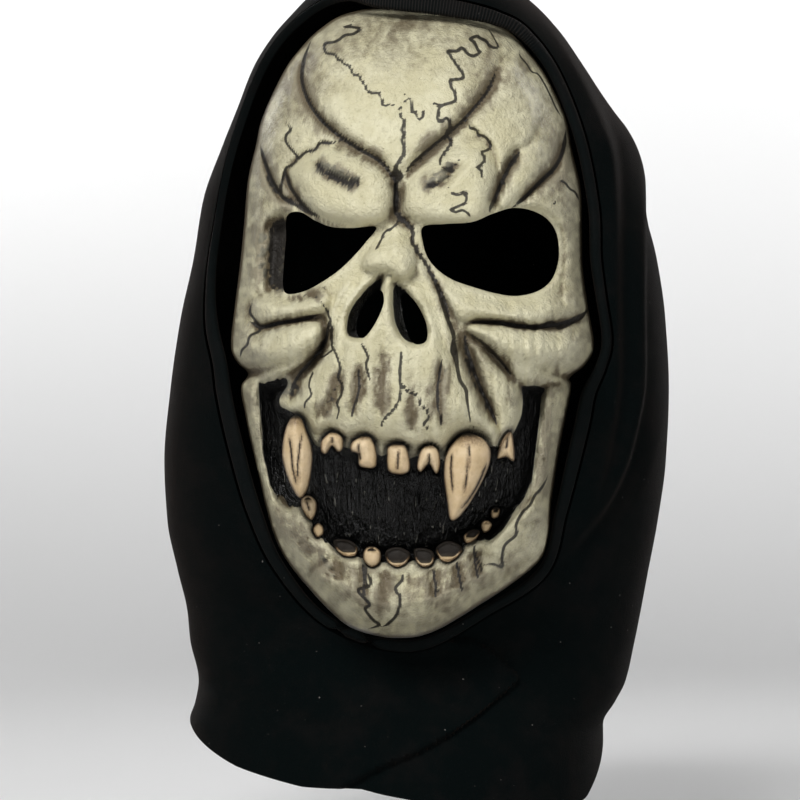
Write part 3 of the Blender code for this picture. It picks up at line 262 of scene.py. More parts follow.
# Teeth: the chart point of the gum that each is seated by, how far its middle stands out from that
# gum, how thick it is as a share of the tooth size, how far down its dark part reaches, its grooves
# and its outline.
Tooth = namedtuple("Tooth", "name gum lift thick bare grooves outline")
TEETH = (
    Tooth("upper_fang_left", (300, 404), 2, 2.0, 0.0,
          (((288, 433), (291, 450), (293, 470), (298, 490)),
           ((303, 430), (299, 452), (298, 472), (300, 486))), (
        (293, 416), (285, 430), (282, 453), (285, 470), (292, 488), (300, 498), (308, 488), (312, 465),
        (312, 448), (306, 430), (301, 418))),
    Tooth("upper_tooth_1", (332, 420), -4, 1.2, 0.0,
          (((332, 436), (332, 444)),), (
        (332, 432), (322, 440), (321, 451), (326, 454), (332, 446), (338, 452), (343, 448), (342, 437))),
    Tooth("upper_tooth_2", (364, 424), -4, 1.2, 0.0,
          (((358, 441), (359, 452), (361, 462)),), (
        (364, 436), (352, 442), (351, 451), (358, 454), (359, 465), (367, 468), (376, 466), (376, 450),
        (371, 438))),
    Tooth("upper_tooth_3", (397, 433), -4, 1.3, 0.0,
          (((399, 448), (398, 460), (397, 472)),), (
        (396, 444), (388, 447), (387, 455), (388, 470), (396, 474), (404, 474), (410, 469), (408, 452),
        (404, 445))),
    Tooth("upper_tooth_4", (428, 436), -4, 1.5, 0.0,
          (((429, 452), (429, 462), (428, 472)),), (
        (429, 445), (421, 450), (417, 466), (421, 472), (429, 464), (436, 474), (440, 466), (439, 452),
        (434, 446))),
    Tooth("upper_fang_right", (472, 422), 4, 2.0, 0.0,
          (((466, 436), (469, 450), (468, 466), (466, 482), (464, 496)),
           ((488, 460), (479, 482), (469, 499), (459, 511)),
           ((452, 450), (451, 470), (453, 495))), (
        (466, 433), (452, 444), (445, 458), (444, 478), (447, 500), (450, 519), (458, 518), (470, 503),
        (483, 480), (490, 462), (490, 448), (482, 438))),
    Tooth("upper_tooth_rear", (508, 420), -10, 1.6, 0.0,
          (((508, 436), (506, 450)),), (
        (511, 431), (502, 440), (497, 458), (506, 457), (514, 461), (514, 445))),
    Tooth("lower_tooth_1", (302, 526), 0, 1.4, 0.05,
          (((306, 500), (310, 512)),), (
        (308, 495), (301, 500), (303, 511), (311, 520), (316, 512), (316, 501))),
    Tooth("lower_tooth_2", (316, 544), 0, 1.4, -0.2,
          (), (
        (318, 523), (313, 529), (317, 537), (323, 534), (323, 527))),
    Tooth("lower_tooth_3", (342, 566), 0, 1.4, 0.62,
          (), (
        (334, 540), (336, 549), (345, 556), (356, 555), (357, 546), (348, 540))),
    Tooth("lower_tooth_4", (372, 575), 2, 1.4, 0.1,
          (), (
        (371, 546), (364, 551), (364, 561), (372, 567), (380, 562), (380, 551))),
    Tooth("lower_tooth_5", (398, 576), 2, 1.4, 0.66,
          (), (
        (386, 551), (387, 561), (397, 567), (407, 562), (410, 553), (398, 547))),
    Tooth("lower_tooth_6", (424, 577), 2, 1.5, 0.66,
          (), (
        (414, 550), (416, 561), (424, 567), (433, 563), (433, 552), (423, 548))),
    Tooth("lower_tooth_7", (450, 572), 0, 1.4, 0.6,
          (), (
        (436, 548), (440, 559), (448, 562), (458, 556), (462, 547), (448, 541))),
    Tooth("lower_tooth_8", (470, 552), 0, 1.4, 0.45,
          (), (
        (464, 535), (466, 543), (474, 541), (480, 532), (473, 529))),
    Tooth("lower_tooth_9", (491, 540), 0, 1.5, 0.1,
          (), (
        (481, 524), (483, 532), (489, 531), (492, 524), (486, 520))),
    Tooth("lower_tooth_10", (503, 524), 0, 1.2, 0.3,
          (), (
        (491, 511), (492, 518), (498, 517), (500, 509), (495, 507))),
)

# The hood, level by level down the chart: its left and right sides on the chart, and how far its
# front and back lie before and behind its axis, as shares of HOOD_DEPTH.
Level = namedtuple("Level", "down left right front back")
HOOD_LEVELS = (
    Level(-38, 415, 415, 0.0, 0.0),
    Level(-36, 390, 440, 0.07, 0.13),
    Level(-30, 362, 470, 0.14, 0.24),
    Level(-15, 330, 504, 0.24, 0.36),
    Level(2, 309, 524, 0.318, 0.45),
    Level(20, 291, 544, 0.345, 0.50),
    Level(40, 273, 563, 0.36, 0.535),
    Level(70, 254, 583, 0.38, 0.565),
    Level(110, 238, 606, 0.39, 0.59),
    Level(150, 222, 630, 0.40, 0.605),
    Level(200, 204, 644, 0.405, 0.62),
    Level(260, 194, 658, 0.405, 0.62),
    Level(320, 181, 665, 0.40, 0.61),
    Level(390, 171, 668, 0.385, 0.59),
    Level(460, 165, 665, 0.36, 0.56),
    Level(520, 168, 657, 0.33, 0.53),
    Level(570, 178, 648, 0.285, 0.51),
    Level(610, 187, 641, 0.245, 0.50),
    Level(640, 190, 635, 0.235, 0.49),
    Level(680, 199, 625, 0.275, 0.485),
    Level(700, 196, 614, 0.305, 0.485),
    Level(720, 190, 602, 0.335, 0.49),
    Level(760, 190, 602, 0.365, 0.49),
    Level(805, 190, 602, 0.375, 0.49),
)
HOOD_WIDEST = -0.10
HOOD_SQUARENESS = 2.35

# Where the cloth ends at the bottom, by the angle round the hood from its front to the right.
HemPoint = namedtuple("HemPoint", "turn down")
HOOD_FOOT = (
    HemPoint(-180, 690), HemPoint(-130, 694), HemPoint(-92, 706), HemPoint(-70, 728), HemPoint(-45, 752),
    HemPoint(-22, 768), HemPoint(-6, 770), HemPoint(8, 785), HemPoint(25, 800), HemPoint(45, 800),
    HemPoint(62, 785), HemPoint(78, 752), HemPoint(92, 722), HemPoint(130, 700), HemPoint(180, 690),
)

# The face opening: by direction from the middle of the face, how far the inner edge of its hem lies
# outside the mask's outline, and how wide the hem is there.
RimPoint = namedtuple("RimPoint", "turn clear width")
FACE_OPENING = (
    RimPoint(92, -6, 17), RimPoint(97, -1, 14), RimPoint(101.6, 11, 10), RimPoint(106.4, 16, 8),
    RimPoint(112, 19, 7), RimPoint(117, 20, 7), RimPoint(122.5, 19, 7), RimPoint(128, 19, 7),
    RimPoint(135, 21, 7), RimPoint(142, 23, 7), RimPoint(151, 24, 8), RimPoint(162, 23, 10),
    RimPoint(172, 18, 13), RimPoint(180, 11, 16), RimPoint(190, 8, 17), RimPoint(200, 8, 18),
    RimPoint(215, 7, 18), RimPoint(230, 4.5, 17), RimPoint(242, 3, 14), RimPoint(255, 2.5, 12),
    RimPoint(270, 2.5, 12), RimPoint(285, 2.5, 12), RimPoint(298, 3, 13), RimPoint(308, 4, 14),
    RimPoint(318, 8, 16), RimPoint(330, 9, 17), RimPoint(340, 10, 16), RimPoint(349, 8, 13),
    RimPoint(357, 7, 12), RimPoint(370, 8, 12), RimPoint(382, 7, 13), RimPoint(395, 6, 13),
    RimPoint(410, 4, 13), RimPoint(422, 2, 13), RimPoint(430, 1, 15), RimPoint(435, -3, 17),
    RimPoint(440, -8, 19), RimPoint(446, -9, 19),
)

SOCKET_DEPTH = 9.0
SOCKET_LIP = 4.0
SOCKET_WALL = 4.5
GUM_LIP = 2.4
GUM_LIP_WIDTH = 7.5
CRACK_REACH = 3.0
CRACK_STRENGTH = 1.5
CREASE_SHARE = 0.75
CREASE_SPREAD = 1.2
INK_WIDTH = 0.9
TAPER = 0.8

# Brown washes with painted shade: how much darkening goes into dips of three sizes and along creases, where
# both gather, and how much painted shade darkens the face towards its edge.
SMALL_WASH_AND_SHADE, MIDDLE_WASH_AND_SHADE, BROAD_WASH_AND_SHADE = 0.1, 0.7, 0.8
CREASE_WASH_AND_SHADE, CREASE_WASH_AND_SHADE_REACH = 0.55, 3.2
RIM_SHADE, RIM_SHADE_FROM, RIM_SHADE_WIDTH = 0.5, 0.66, 0.3
INKED_CREASE, INKED_DEPTH, INKED_GAIN = 0.2, 1.1, 1.4

# Relief of the mouth's strands and of the tooled bone, in squares.
BROAD_STRAND, FINE_STRAND, STRAND_BEADS = 3.6, 2.2, 1.2
SWELL_BROAD, SWELL_SMALL, STIPPLE_BROAD, STIPPLE_SMALL = 1.1, 0.55, 0.28, 0.16
JAW_DRAWN_BROAD, JAW_DRAWN_FINE = 2.0, 0.9
CHIN_DRAWN_BROAD, CHIN_DRAWN_FINE = 0.9, 0.5

# Fine cracks of the bone: how deep and how wide each groove is, in squares, and its line.
Crack = namedtuple("Crack", "depth width line")
CRACKS = (
    Crack(1.6, 2.4, ((353, 20), (352, 24), (344, 27), (352, 27), (360, 29), (353, 34), (345, 35), (340, 39),
                     (334, 42), (326, 43), (324, 46), (326, 53), (333, 54), (336, 56), (338, 60), (341, 60),
                     (344, 64), (349, 66), (351, 70), (354, 75), (358, 75), (361, 80), (364, 84), (367, 90),
                     (371, 93), (379, 93), (381, 99), (384, 106), (390, 104), (394, 106), (399, 111))),
    Crack(2.2, 2.6, ((404, 93), (406, 98), (403, 104), (399, 111), (402, 118), (404, 122), (402, 130),
                     (404, 134), (402, 140), (404, 148), (404, 153), (400, 160), (397, 165), (397, 170),
                     (400, 175), (396, 185), (396, 193), (394, 205), (396, 212), (402, 218), (410, 226),
                     (414, 232), (412, 240), (415, 248), (420, 256), (425, 262), (430, 272), (436, 284),
                     (440, 295), (443, 305), (447, 318), (452, 330), (454, 337), (452, 350), (455, 358),
                     (457, 366), (460, 380), (466, 390), (467, 400), (469, 412), (470, 420), (474, 428))),
    Crack(1.4, 2.2, ((425, 262), (432, 275), (440, 290), (446, 305), (450, 325), (455, 335))),
    Crack(1.6, 2.4, ((406, 98), (410, 99), (411, 107), (412, 112), (416, 112), (418, 119), (422, 118),
                     (425, 107))),
    Crack(1.8, 2.5, ((488, 29), (491, 33), (494, 39), (498, 45), (496, 48), (490, 46), (486, 41), (480, 38),
                     (477, 36), (470, 39), (474, 42), (478, 50), (480, 52), (474, 56), (468, 54), (464, 49),
                     (460, 48), (458, 51), (448, 51), (450, 55), (456, 64), (464, 76), (460, 79), (450, 80),
                     (450, 84), (454, 92), (456, 100), (450, 103), (441, 106), (438, 114), (437, 119),
                     (441, 122), (446, 118), (449, 121), (449, 128), (447, 132), (448, 137), (451, 142),
                     (448, 148), (444, 153), (441, 158), (441, 165), (445, 169), (452, 168), (457, 163),
                     (459, 160))),
    Crack(1.4, 2.2, ((441, 106), (436, 104), (431, 102))),
    Crack(1.6, 2.4, ((448, 186), (451, 192), (456, 195), (462, 194), (465, 192), (467, 199), (463, 204),
                     (452, 209), (450, 209), (455, 212), (462, 210), (468, 213), (470, 218), (467, 223))),
    Crack(1.7, 2.4, ((465, 118), (469, 122), (470, 128), (476, 129), (478, 135), (484, 136), (488, 140),
                     (491, 146), (486, 151), (482, 152), (484, 158), (483, 163), (477, 167), (480, 169),
                     (482, 176), (480, 180))),
    Crack(0.9, 2.4, ((520, 48), (520, 56), (526, 63), (532, 72), (538, 74), (545, 85), (550, 95), (556, 108),
                     (562, 118))),
    Crack(1.2, 2.2, ((559, 182), (564, 182), (570, 189), (575, 192), (579, 200))),
    Crack(1.0, 2.0, ((553, 205), (555, 203), (556, 201))),
    Crack(1.6, 2.4, ((284, 121), (289, 126), (291, 130), (286, 135), (286, 142), (291, 149), (297, 156),
                     (298, 159), (306, 152), (315, 150), (320, 143), (330, 143), (343, 141))),
    Crack(1.6, 2.4, ((298, 159), (292, 165), (286, 168), (283, 178), (281, 188), (282, 195))),
    Crack(1.4, 2.2, ((252, 303), (250, 312), (255, 320), (260, 328), (258, 332), (250, 336), (247, 345),
                     (242, 350), (240, 358))),
    Crack(1.6, 2.4, ((470, 325), (478, 322), (500, 323), (515, 327), (528, 327), (534, 329), (543, 325),
                     (552, 322), (558, 328), (564, 327), (570, 324), (578, 320), (583, 317), (586, 310))),
    Crack(1.4, 2.2, ((397, 205), (395, 210), (400, 218), (392, 228), (385, 232), (381, 240), (378, 246),
                     (374, 251))),
    Crack(1.4, 2.2, ((320, 300), (325, 308), (328, 313), (331, 325), (332, 335), (332, 347), (335, 352),
                     (338, 360), (340, 368), (338, 378), (342, 385), (341, 395), (337, 403), (339, 411),
                     (335, 423))),
    Crack(1.0, 2.0, ((332, 350), (326, 355), (320, 358))),
    Crack(1.2, 2.2, ((314, 369), (309, 384), (311, 395), (305, 403), (305, 411))),
    Crack(1.6, 2.6, ((360, 342), (365, 350), (368, 358), (366, 365), (370, 381))),
    Crack(1.6, 2.4, ((400, 348), (401, 360), (399, 370), (400, 380), (401, 390), (398, 402), (392, 411),
                     (384, 419), (380, 430))),
    Crack(1.6, 2.4, ((400, 380), (403, 386), (410, 393), (417, 395), (420, 404), (427, 411), (429, 418),
                     (424, 424), (432, 433))),
    Crack(1.7, 2.4, ((366, 567), (370, 585), (358, 590), (366, 600), (370, 605), (365, 609), (373, 620),
                     (379, 625), (368, 629))),
    Crack(1.8, 2.4, ((404, 569), (402, 580), (395, 589), (400, 598), (397, 614), (389, 623), (382, 627))),
    Crack(1.7, 2.6, ((548, 475), (545, 482), (540, 490), (535, 495), (530, 505), (522, 513), (516, 525),
                     (516, 535), (505, 545), (502, 558), (502, 567), (493, 564), (482, 565))),
    Crack(1.2, 2.2, ((474, 545), (476, 556), (481, 566), (480, 574))),
)

# Small pits in the bone.
Pore = namedtuple("Pore", "across down radius depth")
PORES = (
    Pore(498, 334, 2.0, 2.4), Pore(502, 341, 1.6, 2.0), Pore(510, 345, 1.4, 1.8), Pore(530, 343, 1.5, 1.8),
    Pore(538, 346, 1.4, 1.6), Pore(550, 345, 1.4, 1.6), Pore(556, 336, 1.2, 1.5), Pore(465, 302, 1.6, 2.0),
    Pore(459, 313, 1.4, 1.8), Pore(470, 314, 1.3, 1.6), Pore(570, 226, 1.5, 1.8), Pore(558, 293, 1.3, 1.6),
    Pore(544, 459, 2.2, 3.0), Pore(299, 543, 1.8, 2.4), Pore(308, 538, 1.6, 2.2), Pore(307, 558, 1.8, 2.4),
    Pore(312, 561, 1.4, 2.0), Pore(332, 570, 3.2, 4.2), Pore(327, 575, 1.9, 2.6), Pore(341, 575, 2.0, 2.6),
    Pore(336, 579, 1.7, 2.4), Pore(330, 582, 1.3, 2.0), Pore(484, 588, 1.6, 2.0),
)

# Dark patches that the folds alone don't gather, partly brown washes and black paint and partly painted
# shade, as under the cheekbones and down the furrows of the upper jaw: how strong and how wide, in squares,
# and its line.
Stain = namedtuple("Stain", "strength width line")
STAINS_AND_SHADE = (
    Stain(1.8, 17, ((281, 214), (278, 240), (278, 265), (281, 295))),
    Stain(0.8, 22, ((268, 226), (264, 250), (266, 285))),
    Stain(0.8, 9, ((302, 216), (322, 224), (345, 232), (374, 232))),
    Stain(0.6, 9, ((286, 297), (302, 296), (318, 289))),
    Stain(0.95, 20, ((302, 384), (288, 388), (272, 386))),
    Stain(0.6, 18, ((520, 388), (535, 390), (556, 388))),
    Stain(0.30, 18, ((303, 60), (299, 84), (306, 106), (322, 126), (341, 143), (360, 154), (384, 170))),
    Stain(0.34, 16, ((300, 66), (294, 80), (296, 92))),
    Stain(0.30, 20, ((498, 62), (492, 80), (478, 100), (452, 124), (430, 142), (408, 162))),
    Stain(0.75, 9, ((497, 70), (489, 86), (474, 104))),
    Stain(0.5, 14, ((416, 158), (430, 146), (444, 136), (452, 130))),
    Stain(0.95, 7, ((398, 172), (396, 186), (396, 200), (399, 214))),
    Stain(1.15, 17, ((312, 162), (330, 171), (345, 179), (362, 186))),
    Stain(1.0, 15, ((418, 188), (434, 181), (446, 172), (456, 160))),
    Stain(0.9, 10, ((262, 166), (271, 184), (284, 198), (300, 207))),
    Stain(0.6, 8, ((286, 174), (291, 187), (301, 201))),
    Stain(0.8, 9, ((521, 152), (511, 166), (502, 182), (495, 197), (492, 208))),
    Stain(0.6, 10, ((566, 130), (562, 150), (553, 170), (540, 184), (520, 202))),
    Stain(0.75, 12, ((314, 302), (320, 294), (328, 286))),
    Stain(0.7, 11, ((326, 318), (325, 335), (318, 352), (306, 366))),
    Stain(0.8, 12, ((468, 334), (466, 348), (470, 368), (477, 386), (485, 402), (494, 422))),
    Stain(0.5, 16, ((486, 352), (500, 366), (512, 384), (514, 410))),
    Stain(0.62, 15, ((338, 362), (335, 390), (327, 406), (320, 422))),
    Stain(0.55, 14, ((357, 352), (358, 388), (355, 403), (351, 420))),
    Stain(0.40, 14, ((383, 352), (383, 385), (382, 424))),
    Stain(0.50, 15, ((412, 366), (412, 410), (411, 436))),
    Stain(0.60, 19, ((444, 352), (441, 390), (443, 407), (446, 430))),
    Stain(0.45, 7, ((428, 380), (428, 410), (428, 436))),
    Stain(0.62, 17, ((364, 562), (365, 582), (366, 612))),
    Stain(0.62, 17, ((434, 564), (436, 584), (437, 612))),
    Stain(0.68, 10, ((457, 560), (460, 578), (464, 594))),
    Stain(0.62, 9, ((474, 552), (477, 568), (482, 584))),
    Stain(0.42, 10, ((384, 568), (385, 590), (386, 610))),
    Stain(0.38, 9, ((410, 566), (412, 584), (413, 600))),
    Stain(0.6, 16, ((318, 548), (328, 565), (338, 582))),
    Stain(0.5, 14, ((300, 520), (304, 540), (316, 556))),
    Stain(0.55, 13, ((262, 500), (272, 520), (284, 540))),
    Stain(0.5, 10, ((545, 392), (545, 430), (541, 462), (530, 492), (512, 520))),
)

TOOTH_GRID = 24
FANG_GRID = 44
CLEAR_REACHES = (1.0, 2.0)
HOOD_COLUMNS, HOOD_ROWS = 300, 230
LINING_TURNS, LINING_LEVELS = 120, 92
FOOT_CROWDING = 0.45
FLAP_LIP = 3.0
FRONT_CROWDING = 0.4
HEM_STEP = 4.0
HEM_SECTION = 16
HEM_RIB_TURNS = 3400.0
BROW_MIDDLE, BROW_REACH = 85.0, 20.0
HOOD_WIDEST = -0.10
HOOD_SQUARENESS = 2.35
FOLD_DIP = 0.5
FOLD_SHOW = 0.04
NAPE_WAVE = 7.0
NAPE_WAVES = 9
NAPE_FROM = 0.55
CROWN_CROWDING = 1.6
CROWN_PLAIN = 0.12
HEM_LEAN = 0.62
HEM_EVENING = 4
FLAP_EDGE = ((452, 640), (475, 642), (492, 650), (508, 664), (521, 679), (503, 695), (480, 714), (458, 730),
             (436, 743), (408, 757), (380, 768), (340, 790))
FLAP_STEP = 9.0
FLAP_FADE = 60.0

# Folds of the hood, each a crest that rises from the opening's side and drops on the other.
Fold = namedtuple("Fold", "rise reach drop line")
FOLDS = (
    Fold(7, 30, 16, ((505, -12), (540, 22), (572, 76), (596, 130), (606, 165), (609, 220), (609, 300),
                     (609, 380), (600, 440), (584, 500), (560, 545))),
    Fold(9, 34, 16, ((560, 20), (592, 70), (618, 125), (633, 165), (636, 220), (636, 300), (636, 380),
                     (630, 420), (618, 465), (598, 505), (566, 545), (540, 572))),
    Fold(5, 26, 16, ((200, 690), (225, 699), (262, 709), (300, 722), (340, 742))),
)
FLOOR_REACH = 4.0
KEY_PLACE, KEY_SIZE = (-0.35, -1.35, 0.95), (0.7, 0.7)
FILL_PLACE, FILL_SIZE = (0.7, -1.3, -0.45), (0.8, 1.0)
BACKDROP_PLACE, BACKDROP_TARGET, BACKDROP_SIZE = (1.8, 1.3, 1.2), (0.0, 2.8, 0.0), (1.0, 1.0)
RIM_PLACE, RIM_SIZE = (0.7, 1.6, 0.45), (0.5, 1.1)
CAMERA_REACH = 20.0
FLOOR_CUTS = 80
FLOOR_GAP = 0.02
BACKDROP_FROM = 1.2
BACKDROP_STEEPNESS = 0.8
LIGHT_SPREAD = 70.0


def length_property(name, description, default):
    return FloatProperty(name=name, description=description, default=default, min=0.0, subtype="DISTANCE",
                         unit="LENGTH")


def color_property(name, description, default):
    return FloatVectorProperty(name=name, description=description, default=default, size=3, min=0.0,
                               max=1.0, subtype="COLOR")


class MaskProperties(PropertyGroup):
    """Sizes and colours of the mask"""
    face_height: length_property("Face Height", "From the top of the forehead to the chin", 0.240)
    face_depth: length_property("Face Depth", "How far the face stands out from its edge", 0.062)
    edge_depth: length_property("Edge Depth", "How far the edge of the face wraps back", 0.018)
    latex_wall: length_property("Latex Wall", "Thickness of the latex", 0.0022)
    axis_to_edge: length_property("Axis to Edge", "From the hood's axis to the edge of the face", 0.040)
    cloth_wall: length_property("Cloth Wall", "Thickness of the fleece with its nap", 0.0022)
    hem_wall: length_property("Hem Wall", "Thickness of the rolled hem", 0.0032)
    hood_depth: length_property("Hood Depth", "From the front of the hood to its back", 0.184)
    tooth_wall: length_property("Tooth Thickness", "Thickness that each tooth's share is taken of", 0.0065)
    fit_gap: length_property("Fit Gap", "Gap between neighbouring pieces", 0.00045)
    view_distance: length_property("View Distance", "How far away the chart of the face is drawn from", 1.6)
    face_turn: FloatProperty(name="Face Turn", description="How far the chart's view stands to one side",
                             default=math.radians(6.0), subtype="ANGLE", unit="ROTATION")
    bone_color: color_property("Bone", "Paint on clean bone", (0.62, 0.585, 0.405))
    aged_bone_color: color_property("Aged Bone", "Paint on worn bone", (0.54, 0.50, 0.32))
    # The brown and black below darken the bone for both washes and painted shade.
    stain_and_shade_color: color_property("Stain", "Brown wash on bone", (0.105, 0.078, 0.043))
    ink_color: color_property("Ink", "Black wash in the deepest lines", (0.010, 0.008, 0.006))
    dry_brush_color: color_property("Dry Brush", "Light paint on raised edges", (0.70, 0.66, 0.48))
    flesh_color: color_property("Flesh", "Black flesh of the mouth", (0.004, 0.004, 0.0035))
    raw_latex_color: color_property("Raw Latex", "Bare latex inside the mask", (0.46, 0.40, 0.27))
    tooth_color: color_property("Tooth", "Cream of a clean tooth", (0.60, 0.47, 0.30))
    aged_tooth_color: color_property("Aged Tooth", "Tan of a worn tooth", (0.50, 0.37, 0.21))
    # Brown that darkens the teeth for both washes and painted shade.
    tooth_stain_and_shade_color: color_property("Tooth Stain", "Brown wash on the teeth", (0.09, 0.052, 0.026))
    cloth_color: color_property("Cloth", "Black of the fleece", (0.0012, 0.0027, 0.0028))
    worn_cloth_color: color_property("Worn Cloth", "Fleece where its nap is worn", (0.006, 0.0052, 0.005))
    nap_tint: color_property("Nap Tint", "Colour that the pile catches at its edges", (0.30, 0.20, 0.16))
    rib_color: color_property("Rib", "Raised ribs of the hem", (0.016, 0.014, 0.013))


class StageProperties(PropertyGroup):
    """Camera and light"""
    camera_distance: length_property("Camera Distance", "From the hood's axis to the camera", 1.64)
    camera_lens: FloatProperty(name="Lens", description="Focal length of the camera", default=188.98,
                               min=1.0, unit="CAMERA")
    floor_color: color_property("Floor", "Colour of the floor", (0.80, 0.80, 0.80))
    key_power: FloatProperty(name="Key Light", description="Power of the front light", default=4.4,
                             min=0.0, unit="POWER")
    fill_power: FloatProperty(name="Fill Light", description="Power of the side light", default=2.6,
                              min=0.0, unit="POWER")
    rim_power: FloatProperty(name="Rim Light", description="Power of the lights behind", default=1.5,
                             min=0.0, unit="POWER")
    backdrop_power: FloatProperty(name="Backdrop Light", description="Power of the lights on the backdrop",
                                  default=10.0, min=0.0, unit="POWER")
    world_light: FloatProperty(name="Surroundings", description="Brightness of the pale surroundings",
                               default=0.24, min=0.0)


def between(low, high, share):
    return low + (high - low) * share


class Layout:
    """Turns places on the chart into places in space, and back."""

    def __init__(self, sizes):
        self.square = sizes.face_height / CHART_TALL
        self.depth = sizes.face_depth / self.square
        self.edge = sizes.edge_depth / self.square
        self.wall = sizes.latex_wall / self.square
        self.hem_wall = sizes.hem_wall / self.square
        self.axis_to_edge = sizes.axis_to_edge
        self.view_distance = sizes.view_distance
        self.hood_depth = sizes.hood_depth
        self.turn = sizes.face_turn
        crown = (SIGHT[1] - HOOD_LEVELS[0].down) * self.square * self.scale(HOOD_WIDEST * self.hood_depth)
        self.drop = crown - sizes.cloth_wall

    def scale(self, toward):
        return 1.0 - (toward - self.axis_to_edge) / self.view_distance

    def turned(self, side, toward, rise):
        return np.stack([side * math.cos(self.turn) + toward * math.sin(self.turn) - CHART_SHIFT,
                         side * math.sin(self.turn) - toward * math.cos(self.turn),
                         rise - self.drop + 0.0 * side], axis=-1)

    def place(self, across, down, height):
        toward = self.axis_to_edge + height * self.square
        square = self.square * self.scale(toward)
        return self.turned((across - SIGHT[0]) * square, toward, (SIGHT[1] - down) * square)

    def chart_of(self, points):
        """Across, down and height on the chart of points in space."""
        x = points[:, 0] + CHART_SHIFT
        side = x * math.cos(self.turn) + points[:, 1] * math.sin(self.turn)
        toward = x * math.sin(self.turn) - points[:, 1] * math.cos(self.turn)
        square = self.square * self.scale(toward)
        return (SIGHT[0] + side / square, SIGHT[1] - (points[:, 2] + self.drop) / square,
                (toward - self.axis_to_edge) / self.square)


def curve(points, closed, step=3.0):
    """Close points on a smooth curve that passes through a few chart points."""
    knots = [np.array(point, float) for point in points]
    count = len(knots)
    result = []
    for i in range(count if closed else count - 1):
        if closed:
            before, start, end, after = (knots[(i + k - 1) % count] for k in range(4))
        else:
            start, end = knots[i], knots[i + 1]
            before = knots[i - 1] if i > 0 else 2 * start - end
            after = knots[i + 2] if i + 2 < count else 2 * end - start
        pieces = max(1, math.ceil(np.linalg.norm((end - start)[:2]) / step))
        for j in range(pieces):
            t = j / pieces
            result.append(0.5 * (2 * start + (end - before) * t
                                 + (2 * before - 5 * start + 4 * end - after) * t * t
                                 + (3 * start - before - 3 * end + after) * t ** 3))
    if not closed:
        result.append(knots[-1])
    return np.array(result)


class Chart:
    """An even grid of chart points, with a number of samples to each square."""

    def __init__(self, fine):
        self.fine = fine
        self.across = CHART_LEFT + np.arange((CHART_RIGHT - CHART_LEFT) * fine + 1) / fine
        self.down = CHART_TOP + np.arange((CHART_FOOT - CHART_TOP) * fine + 1) / fine
        self.grid_across, self.grid_down = np.meshgrid(self.across, self.down)

    def window(self, path, margin):
        low = path.min(axis=0) - margin
        high = path.max(axis=0) + margin
        columns = np.searchsorted(self.across, [low[0], high[0]])
        rows = np.searchsorted(self.down, [low[1], high[1]])
        return slice(*rows), slice(*columns)

    def sample(self, field, across, down):
        x = np.clip((np.asarray(across) - CHART_LEFT) * self.fine, 0, field.shape[1] - 1.001)
        y = np.clip((np.asarray(down) - CHART_TOP) * self.fine, 0, field.shape[0] - 1.001)
        column, row = x.astype(int), y.astype(int)
        right, low = x - column, y - row
        upper = field[row, column] * (1 - right) + field[row, column + 1] * right
        lower = field[row + 1, column] * (1 - right) + field[row + 1, column + 1] * right
        return upper * (1 - low) + lower * low


def path_distance(across, down, path, closed):
    """Distance to a path, the share along it, which side it is on, and what a closed one holds."""
    x, y = np.ravel(across), np.ravel(down)
    best = np.full(x.shape, np.inf)
    along = np.zeros(x.shape)
    side = np.ones(x.shape)
    inside = np.zeros(x.shape, bool)
    ends = np.roll(path, -1, axis=0) if closed else path[1:]
    starts = path if closed else path[:-1]
    course = (ends - starts)[:, :2]
    course = course / np.maximum(np.hypot(course[:, 0], course[:, 1]), 1e-9)[:, None]
    joint = course + np.roll(course, 1, axis=0)
    if not closed:
        joint = np.vstack([course[:1], joint[1:], course[-1:]])
    for i, (start, end) in enumerate(zip(starts, ends)):
        dx, dy = end[0] - start[0], end[1] - start[1]
        if dx == 0 and dy == 0:
            continue
        ox, oy = x - start[0], y - start[1]
        t = np.clip((ox * dx + oy * dy) / (dx * dx + dy * dy), 0, 1)
        square = (ox - t * dx) ** 2 + (oy - t * dy) ** 2
        near = square < best
        best = np.where(near, square, best)
        along = np.where(near, (i + t) / len(starts), along)
        here = course[i] * (0 < t)[:, None] * (t < 1)[:, None] + joint[i] * (t <= 0)[:, None]
        here = here + joint[(i + 1) % len(joint)] * (t >= 1)[:, None]
        turned = here[:, 0] * (oy - t * dy) - here[:, 1] * (ox - t * dx)
        side = np.where(near, np.where(turned < 0, -1.0, 1.0), side)
        if closed and dy != 0:
            inside ^= ((end[1] > y) != (start[1] > y)) & (x < start[0] + oy * dx / dy)
    shape = np.shape(across)
    return (np.sqrt(best).reshape(shape), along.reshape(shape), side.reshape(shape),
            inside.reshape(shape))


def outline_radius(angles):
    """Distance from the middle of the face to its outline in each direction."""
    path = curve(FACE_OUTLINE, closed=True, step=2.0)
    right, up = path[:, 0] - FACE_MIDDLE[0], FACE_MIDDLE[1] - path[:, 1]
    turn = np.arctan2(up, right)
    order = np.argsort(turn)
    return np.interp(angles, turn[order], np.hypot(right, up)[order], period=2 * math.pi)


def eased(values):
    share = np.clip(values, 0, 1)
    return share * share * (3 - 2 * share)


def blurred(field, reach):
    """The field averaged three times over windows of a half width in samples."""
    size = max(1, int(round(reach)))
    for axis in (0, 1, 0, 1, 0, 1):
        line = np.moveaxis(field, axis, 0)
        padded = np.concatenate([np.repeat(line[:1], size + 1, 0), line, np.repeat(line[-1:], size, 0)])
        total = np.cumsum(padded, axis=0)
        line = (total[2 * size + 1:] - total[:-2 * size - 1]) / (2 * size + 1)
        field = np.moveaxis(line, 0, axis)
    return field


